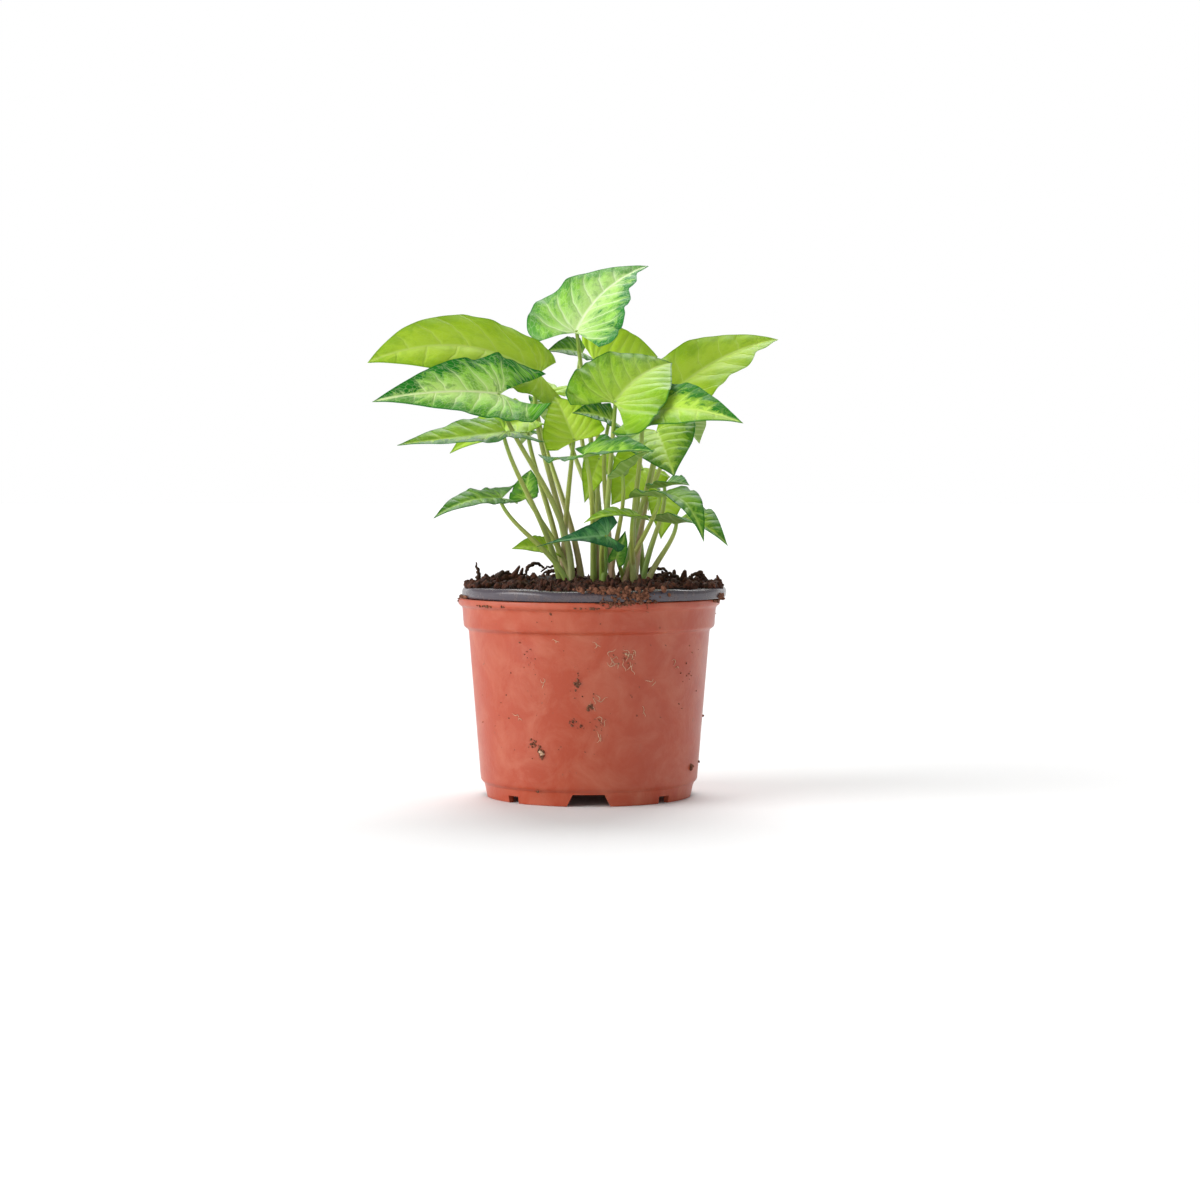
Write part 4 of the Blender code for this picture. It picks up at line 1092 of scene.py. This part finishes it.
def mound(finish):
    """The soil as a closed mound, which also carries the crumbs."""
    lumps = soil_lumps() + [(x, y, size, tall) for x, y, size, tall in HUMPS]
    edge = soil_radius(SOIL_EDGE)
    vertices = [(INNER_SHIFT, 0, soil_height(INNER_SHIFT, 0, lumps))]
    for ring in range(1, MOUND_RINGS + 1):
        reach = edge * ring / MOUND_RINGS
        for k in range(MOUND_SPOKES):
            a = 2 * math.pi * k / MOUND_SPOKES
            x, y = INNER_SHIFT + reach * math.cos(a), reach * math.sin(a)
            vertices.append((x, y, soil_height(x, y, lumps)))
    floor = FOOT_HEIGHT + WALL + 2 * CLEARANCE + INNER_WALL
    narrow = soil_radius(floor) / edge
    for x, y, _ in vertices[-MOUND_SPOKES:]:
        vertices.append((INNER_SHIFT + (x - INNER_SHIFT) * narrow, y * narrow, floor))
    faces = [(0, 1 + k, 1 + (k + 1) % MOUND_SPOKES) for k in range(MOUND_SPOKES)]
    for ring in range(MOUND_RINGS):
        here, there = 1 + ring * MOUND_SPOKES, 1 + (ring + 1) * MOUND_SPOKES
        for k in range(MOUND_SPOKES):
            j = (k + 1) % MOUND_SPOKES
            faces.append((here + k, there + k, there + j, here + j))
    first = 1 + MOUND_RINGS * MOUND_SPOKES
    faces.append(tuple(range(first + MOUND_SPOKES - 1, first - 1, -1)))
    piece = add_mesh("peat_mound", vertices, faces)
    piece.data.materials.append(finish)
    piece.data.shade_smooth()
    dress(piece, ["soil"])
    return piece


def crumb_grower(name, finish, longest, thinnest):
    """Scatters lumps over a surface: each turned, stretched and roughened its own way."""
    tree, given = new_grower(name, ["Density", "Smallest", "Largest", "Roughness", "Grain", "Seed"])
    ports = given.outputs
    spread = add_node(
        tree, "GeometryNodeDistributePointsOnFaces",
        {"Mesh": ports["Geometry"], "Density": ports["Density"], "Seed": ports["Seed"]},
    )
    size = add_node(
        tree, "FunctionNodeRandomValue",
        {"Min": ports["Smallest"], "Max": ports["Largest"], "Seed": ports["Seed"]}, data_type="FLOAT",
    )
    turn = add_node(
        tree, "FunctionNodeRandomValue",
        {"Min": (0.0, 0.0, 0.0), "Max": (6.3, 6.3, 6.3), "Seed": ports["Seed"]},
        data_type="FLOAT_VECTOR",
    )
    form = add_node(
        tree, "FunctionNodeRandomValue",
        {"Min": (1.0, thinnest, thinnest), "Max": (longest, 1.0, 1.0), "Seed": 5},
        data_type="FLOAT_VECTOR",
    )
    scale = add_node(tree, "ShaderNodeVectorMath", {0: form, "Scale": size}, operation="SCALE")
    lump = add_node(tree, "GeometryNodeMeshIcoSphere", {"Radius": 1.0, "Subdivisions": 2})
    placed = add_node(
        tree, "GeometryNodeInstanceOnPoints",
        {"Points": spread.outputs["Points"], "Instance": lump.outputs["Mesh"], "Rotation": turn,
         "Scale": scale},
    )
    real = add_node(tree, "GeometryNodeRealizeInstances", {"Geometry": placed})
    grain = add_node(tree, "ShaderNodeMath", {0: 1.0, 1: ports["Grain"]}, operation="DIVIDE")
    rough = add_node(
        tree, "ShaderNodeTexNoise",
        {"Vector": add_node(tree, "GeometryNodeInputPosition"), "Scale": grain, "Detail": 1.0},
    )
    centred = add_node(
        tree, "ShaderNodeVectorMath", {0: rough.outputs["Color"], 1: (0.5, 0.5, 0.5)},
        operation="SUBTRACT",
    )
    push = add_node(
        tree, "ShaderNodeVectorMath", {0: centred, "Scale": ports["Roughness"]}, operation="SCALE"
    )
    moved = add_node(tree, "GeometryNodeSetPosition", {"Geometry": real, "Offset": push})
    done = add_node(tree, "GeometryNodeSetMaterial", {"Geometry": moved, "Material": finish})
    add_node(tree, "NodeGroupOutput", {"Geometry": done})
    return tree


def scattered(name, ground, grower, sizes):
    """A piece of crumbs scattered over a copy of the ground's faces."""
    piece = bpy.data.objects.new(name, ground)
    bpy.context.scene.collection.objects.link(piece)
    grow(piece, grower, sizes)
    dress(piece, [])
    return piece


def top_faces(piece, name, keep):
    """The part of a piece's surface where keep says so, as a mesh of its own."""
    body = bmesh.new()
    body.from_mesh(piece.data)
    gone = [f for f in body.faces if not keep(f.calc_center_median() / MM - Vector((POT_X, 0, 0)), f.normal)]
    bmesh.ops.delete(body, geom=gone, context="FACES")
    mesh = bpy.data.meshes.new(name)
    body.to_mesh(mesh)
    body.free()
    return mesh


def rim_strip(name):
    """The top of the rim behind and at both sides, where soil has spilled over it."""
    inner, outer, level = SPILL_REACH
    steps, points = 48, []
    for k in range(steps + 1):
        a = math.radians(SPILL_FROM - 90 + (360 - 2 * SPILL_FROM) * k / steps)
        for r in (inner, outer):
            points.append((INNER_SHIFT + r * math.cos(a), r * math.sin(a), level))
    made = add_mesh(name, points, [(2 * k, 2 * k + 1, 2 * k + 3, 2 * k + 2) for k in range(steps)])
    mesh = made.data
    bpy.data.objects.remove(made, do_unlink=True)
    return mesh


def soil():
    ground = mound(peat("moist_peat", "#0E0603", "#2A160D", 260.0))
    crumb = peat("peat_crumbs_and_bark", "#140804", "#5E3422", 420.0)
    surface = top_faces(ground, "soil_top", lambda at, normal: normal.z > 0.3 and at.z > 85)
    spilled = rim_strip("rim_top")
    crumbs = crumb_grower("crumbs", crumb, 1.8, 0.55)
    scattered("peat_crumbs", surface, crumbs, {
        "Density": 110000.0, "Smallest": 0.0006, "Largest": 0.0023, "Roughness": 0.0019,
        "Grain": 0.0018, "Seed": 3})
    chips = crumb_grower("chips", crumb, 4.5, 0.35)
    scattered("bark_chips", surface.copy(), chips, {
        "Density": 14000.0, "Smallest": 0.0008, "Largest": 0.0020, "Roughness": 0.0016,
        "Grain": 0.0025, "Seed": 8})
    scattered("crumbs_on_rim", spilled, crumbs, {
        "Density": 420000.0, "Smallest": 0.0006, "Largest": 0.0019, "Roughness": 0.0016,
        "Grain": 0.0018, "Seed": 4})
    scattered("bark_on_rim", spilled.copy(), chips, {
        "Density": 60000.0, "Smallest": 0.0006, "Largest": 0.0015, "Roughness": 0.0012,
        "Grain": 0.0025, "Seed": 9})


# Crumbs one by one: angle from the front, height, spread round and up, how many, smallest and largest
RIM_CRUMBS = [
    (8, 93.2, 13, 0.9, 60, 0.4, 1.3), (16, 91.0, 10, 2.2, 60, 0.3, 1.0),
    (11, 87.6, 6, 1.6, 26, 0.3, 0.8), (22, 88.0, 8, 1.2, 18, 0.3, 0.8),
    (72, 88.3, 5, 1.6, 16, 0.4, 1.2), (-80, 88.0, 6, 1.2, 12, 0.3, 0.9),
    (-48, 85.6, 12, 0.3, 16, 0.2, 0.5), (2, 85.6, 9, 0.3, 14, 0.2, 0.6),
]
WALL_CRUMBS = [
    (-5.3, 53.2, 1.0, 2.0, 16, 0.2, 0.6), (-5.0, 56.8, 0.6, 2.0, 6, 0.1, 0.3),
    (0.5, 43.2, 2.2, 2.2, 18, 0.15, 0.5), (-8, 37, 2.0, 1.4, 14, 0.15, 0.45),
    (-4, 35.2, 2.4, 1.2, 10, 0.1, 0.4), (-27.5, 27.1, 1.9, 1.8, 18, 0.2, 0.5),
    (-24, 23.6, 1.5, 2.4, 20, 0.2, 0.65), (17, 65, 6.0, 4.0, 16, 0.1, 0.3),
    (5, 35, 4.0, 4.0, 14, 0.1, 0.3), (-28, 62, 4.0, 5.0, 14, 0.1, 0.3),
    (-16.5, 83, 0.3, 1.6, 5, 0.2, 0.45), (4, 62, 40, 20, 26, 0.12, 0.3),
    (-10, 35, 60, 25, 30, 0.12, 0.3), (66, 14.8, 1.2, 1.0, 4, 0.4, 0.9),
    (55, 55, 12, 16, 14, 0.15, 0.35), (-27, 6.6, 1.5, 0.5, 4, 0.2, 0.5),
    (150, 40, 80, 28, 40, 0.15, 0.6), (190, 86, 50, 1.5, 30, 0.2, 0.8),
]
PALE_CRUMBS = [(-23.5, 22.9, 0.5, 0.5, 2, 0.7, 1.1), (18, 66, 1.0, 1.0, 2, 0.3, 0.6)]
# Root hairs: angle from the front, height, length, heading up from level
ROOT_HAIRS = [(17.5, 67, 8, -62), (19.5, 63, 7, -70), (16, 64, 6, 20), (9.5, 65, 6, 25), (8.5, 62.5, 7, -42),
              (20.5, 67.5, 4, 10), (12, 61, 4, 60), (3, 47, 7, 5), (1, 46, 6, -65), (6, 36, 6, 55),
              (4, 33, 6, -25), (-17, 72, 4, -10), (1.5, 71.5, 5, -35), (-23, 55, 5, -75), (32, 55, 5, -60),
              (-36, 38, 5, 70), (27, 40, 4, 40), (44, 60, 5, 65), (170, 50, 8, 30), (200, 35, 7, -50)]
RIM_HAIRS = [(6, 93, 9, -30), (10, 92, 10, -72), (13, 91.5, 9, -55), (17, 92, 11, -80), (20, 91, 8, -60),
             (23, 90.5, 9, -35), (9, 90, 7, 10), (15, 89, 8, -5), (27, 92.5, 8, -15)]
HAIR_RADIUS, HAIR_STEPS, HAIR_CURL = 0.13, 12, 28.0
# Bark and twigs: the points each follows, and how thick it is next to the others
TWIGS = [
    ([(-48, 2, 92), (-49.5, 0, 96), (-49, -1, 99.5), (-50.5, -1, 103)], 1.1),
    ([(-43, 2, 95), (-40, 0, 98), (-36, 1, 99.5)], 1.3),
    ([(-30, 8, 97), (-27, 6, 101), (-24, 8, 102.5), (-20, 9, 101)], 1.2),
    ([(-22, 12, 99), (-16, 10, 102), (-9, 11, 101), (-5, 12, 99)], 0.9),
    ([(25, 16, 96), (28, 14, 100.5), (33, 14, 100), (37, 15, 97.5)], 1.0),
    ([(31, 8, 94), (35, 6, 98.5), (40, 5, 96), (43, 4, 93)], 1.0),
    ([(44, -2, 94), (46, -3, 98), (50, -3, 98.5), (52, -2, 95)], 1.2),
    ([(-35, -24, 93), (-30, -26, 95.5), (-25, -25, 94)], 1.0),
    ([(10, 40, 95), (16, 38, 98), (22, 37, 96.5)], 1.1),
    ([(-10, 38, 96), (-16, 36, 99), (-22, 37, 97)], 1.1),
    ([(34, -20, 92), (39, -19, 95), (43, -16, 93)], 0.9),
    ([(-44, 16, 95), (-40, 20, 98), (-34, 22, 97)], 1.2),
]


def wall_radius(z):
    """Outside of the outer pot, or of the rim above it, at a height."""
    if z > LIP_TOP:
        return RIM_RADIUS
    if z > BAND_TOP + STEP_HEIGHT:
        return LIP_RADIUS
    if z > BODY_TOP + STEP_HEIGHT:
        low, high, share = BAND_RADIUS, BAND_TOP_RADIUS, (z - BODY_TOP) / (BAND_TOP - BODY_TOP)
    else:
        low, high, share = BODY_RADIUS, BODY_TOP_RADIUS, (z - FOOT_HEIGHT) / (BODY_TOP - FOOT_HEIGHT)
    return low + (high - low) * share


def on_wall(angle, z, out=0.0):
    """A place on the pot's outside: the angle is from the front, in degrees."""
    a = math.radians(angle - 90)
    shift = INNER_SHIFT if z > LIP_TOP else 0.0
    r = wall_radius(z) + out
    return Vector((shift + r * math.cos(a), r * math.sin(a), z))


def lumps_on_wall(name, spots, finish, seed):
    """Crumbs stuck to the pot in the places given, sunk a little into it."""
    draw, body = random.Random(seed), bmesh.new()
    for angle, height, around, up, count, smallest, largest in spots:
        for _ in range(count):
            size = draw.uniform(smallest, largest)
            z = height + draw.gauss(0, up / 2)
            centre = on_wall(angle + draw.gauss(0, around / 2), z, size * 0.25)
            turn = Matrix.Rotation(draw.uniform(0, 6.3), 4, Vector((draw.random(), 1, draw.random())))
            form = Matrix.Diagonal((size * draw.uniform(1, 1.8), size, size * draw.uniform(0.5, 1), 1))
            place = Matrix.Translation((centre + Vector((POT_X, 0, 0))) * MM)
            made = bmesh.ops.create_icosphere(
                body, subdivisions=2, radius=MM, matrix=place @ turn @ form)
            for vert in made["verts"]:
                vert.co += noise.noise_vector(vert.co / MM * 0.9) * 0.25 * size * MM
    mesh = bpy.data.meshes.new(name)
    body.to_mesh(mesh)
    body.free()
    mesh.materials.append(finish)
    piece = bpy.data.objects.new(name, mesh)
    bpy.context.scene.collection.objects.link(piece)
    dress(piece, [])


def strands(name, paths, radii, grower, sides):
    """Thin round strands along paths, thinner towards both ends."""
    vertices, edges, thickness = [], [], []
    for path, radius in zip(paths, radii):
        first, last = len(vertices), len(path) - 1
        vertices += [tuple(point) for point in path]
        edges += [(first + k, first + k + 1) for k in range(last)]
        thickness += [radius * MM * (0.35 + 0.65 * math.sin(math.pi * k / last)) for k in range(last + 1)]
    piece = add_mesh(name, vertices, [], edges)
    layer = piece.data.attributes.new("thickness", "FLOAT", "POINT")
    layer.data.foreach_set("value", thickness)
    grow(piece, grower, {"Sides": sides})
    dress(piece, [])


def hair_path(angle, height, length, heading, draw):
    """A root hair that wanders over the pot's wall."""
    points, course, step = [], math.radians(heading), length / HAIR_STEPS
    for _ in range(HAIR_STEPS + 1):
        points.append(on_wall(angle, height, HAIR_RADIUS * 0.7))
        course += math.radians(draw.gauss(0, HAIR_CURL))
        angle += math.degrees(step * math.cos(course) / wall_radius(height))
        height += step * math.sin(course)
    return points


def smooth_path(points, steps=16):
    """Points along a smooth curve through the given ones."""
    points = [Vector(p) for p in points]
    out, last = [], len(points) - 1
    for k in range(steps * last + 1):
        i, t = min(last - 1, k // steps), (k - min(last - 1, k // steps) * steps) / steps
        a, b, c, d = points[max(0, i - 1)], points[i], points[i + 1], points[min(last, i + 2)]
        out.append(0.5 * (2 * b + (c - a) * t + (2 * a - 5 * b + 4 * c - d) * t * t
                          + (3 * b - a - 3 * c + d) * t**3))
    return out


def spilled_soil():
    """Soil on the rim and dried on the wall, root hairs, and bark on the mound."""
    dirt = peat("dried_peat", "#4A2C1E", "#8A5A42", 500.0)
    pale = peat("dried_root_and_grit", "#B08A6C", "#D9BC9E", 500.0)
    bark = peat("peat_bark", "#1A100A", "#4E3424", 300.0)
    lumps_on_wall("rim_crumbs", RIM_CRUMBS, dirt, 21)
    lumps_on_wall("wall_crumbs", WALL_CRUMBS, dirt, 22)
    lumps_on_wall("wall_grit", PALE_CRUMBS, pale, 23)
    draw = random.Random(24)
    hairs = []
    for angle, height, length, heading in ROOT_HAIRS:
        hairs.append(hair_path(angle, height, length, heading, draw))
        hairs.append(hair_path(angle + 1.5, height - 1.2, length * 0.6, heading + 35, draw))
    strands("wall_root_hairs", hairs, [HAIR_RADIUS] * len(hairs), stalk_grower(pale), 6)
    hairs = [hair_path(*spot, draw) for spot in RIM_HAIRS]
    strands("rim_root_hairs", hairs, [HAIR_RADIUS * 1.3] * len(hairs), stalk_grower(dirt), 6)
    paths = []
    for points, _ in TWIGS:
        paths.append([p + noise.noise_vector(p * 0.9) * 1.1 for p in smooth_path(points)])
    strands("bark_twigs", paths, [radius * 0.75 for _, radius in TWIGS], stalk_grower(bark), 6)


# Studio


HALL, HALL_HEIGHT = 30.0, 9.0
# Each lamp: the way it comes from, its strength and its spread in degrees
LAMPS = {
    "key_lamp": ((-0.92, -0.34, 0.34), 3.0, 50),
    "back_lamp": ((0.05, 0.60, 0.80), 2.3, 45),
}


def stage_mesh(name, vertices, faces):
    """A piece of the studio, in metres."""
    mesh = bpy.data.meshes.new(name)
    mesh.from_pydata(vertices, [], faces)
    made = bpy.data.objects.new(name, mesh)
    bpy.context.scene.collection.objects.link(made)
    return made


def studio():
    """A wide white floor and a lit round wall, white light, two soft lamps and the camera."""
    floor = stage_mesh(
        "studio_floor",
        [(-HALL, -HALL, 0), (HALL, -HALL, 0), (HALL, HALL, 0), (-HALL, HALL, 0)],
        [(0, 1, 2, 3)],
    )
    paper, tree, shader = new_finish("white_studio_paper")
    fibres = add_node(
        tree, "ShaderNodeTexNoise",
        {"Vector": add_node(tree, "ShaderNodeTexCoord").outputs["Object"], "Scale": 900.0},
    )
    tone = add_node(
        tree, "ShaderNodeMix",
        {"Factor": fibres, "A": linear("#EBEBEB"), "B": linear("#EEEEEE")}, data_type="RGBA",
    )
    wire(tree, tone, shader.inputs["Base Color"])
    shader.inputs["Roughness"].default_value = 0.9
    shader.inputs["Specular IOR Level"].default_value = 0.05
    floor.data.materials.append(paper)

    ring = [(HALL * math.cos(a), HALL * math.sin(a)) for a in (2 * math.pi * k / 64 for k in range(64))]
    wall = stage_mesh("studio_wall", [(x, y, z) for z in (-0.5, HALL_HEIGHT) for x, y in ring],
                      [(k, (k + 1) % 64, 64 + (k + 1) % 64, 64 + k) for k in range(64)])
    lit, tree, shader = new_finish("lit_white_wall")
    shader.inputs["Base Color"].default_value = (0, 0, 0, 1)
    shader.inputs["Roughness"].default_value = 1.0
    shader.inputs["Specular IOR Level"].default_value = 0.0
    shader.inputs["Emission Color"].default_value = (1, 1, 1, 1)
    shader.inputs["Emission Strength"].default_value = 1.0
    wall.data.materials.append(lit)
    wall.visible_shadow = False

    bpy.context.scene.view_settings.view_transform = "Standard"
    world = bpy.data.worlds.new("studio")
    world.use_nodes = True
    world.node_tree.nodes["Background"].inputs[0].default_value = (1, 1, 1, 1)
    world.node_tree.nodes["Background"].inputs[1].default_value = 0.38
    bpy.context.scene.world = world
    for name, (direction, energy, spread) in LAMPS.items():
        lamp = bpy.data.lights.new(name, "SUN")
        lamp.energy, lamp.angle = energy, math.radians(spread)
        holder = bpy.data.objects.new(name, lamp)
        holder.rotation_euler = (-Vector(direction)).to_track_quat("-Z", "Y").to_euler()
        bpy.context.scene.collection.objects.link(holder)

    eye, aim = Vector((0.0069, -1.101, 0.134)), Vector((0.0069, 0, 0.0868))
    lens = bpy.data.cameras.new("camera")
    lens.lens, lens.sensor_width, lens.clip_start = 74.3, 36.0, 0.01
    camera = bpy.data.objects.new("camera", lens)
    camera.location = eye
    camera.rotation_euler = (aim - eye).to_track_quat("-Z", "Y").to_euler()
    bpy.context.scene.collection.objects.link(camera)
    bpy.context.scene.camera = camera


def build():
    studio()
    terracotta_pot(moulded_terracotta_plastic())
    grey_liner(grey_plastic())
    soil()
    spilled_soil()
    draw = random.Random(5)
    grower = stalk_grower(stalk_skin())
    for name in PLANTLETS:
        plantlet_stalks(name, grower, draw)
    underside = leaf_underside()
    skins = {name: leaf_skin("leaf_skin_" + name, *values) for name, values in SKINS.items()}
    for number, leaf in enumerate(LEAVES):
        blade(leaf, number + 1.0, skins[leaf.skin or leaf.look], underside)


build()
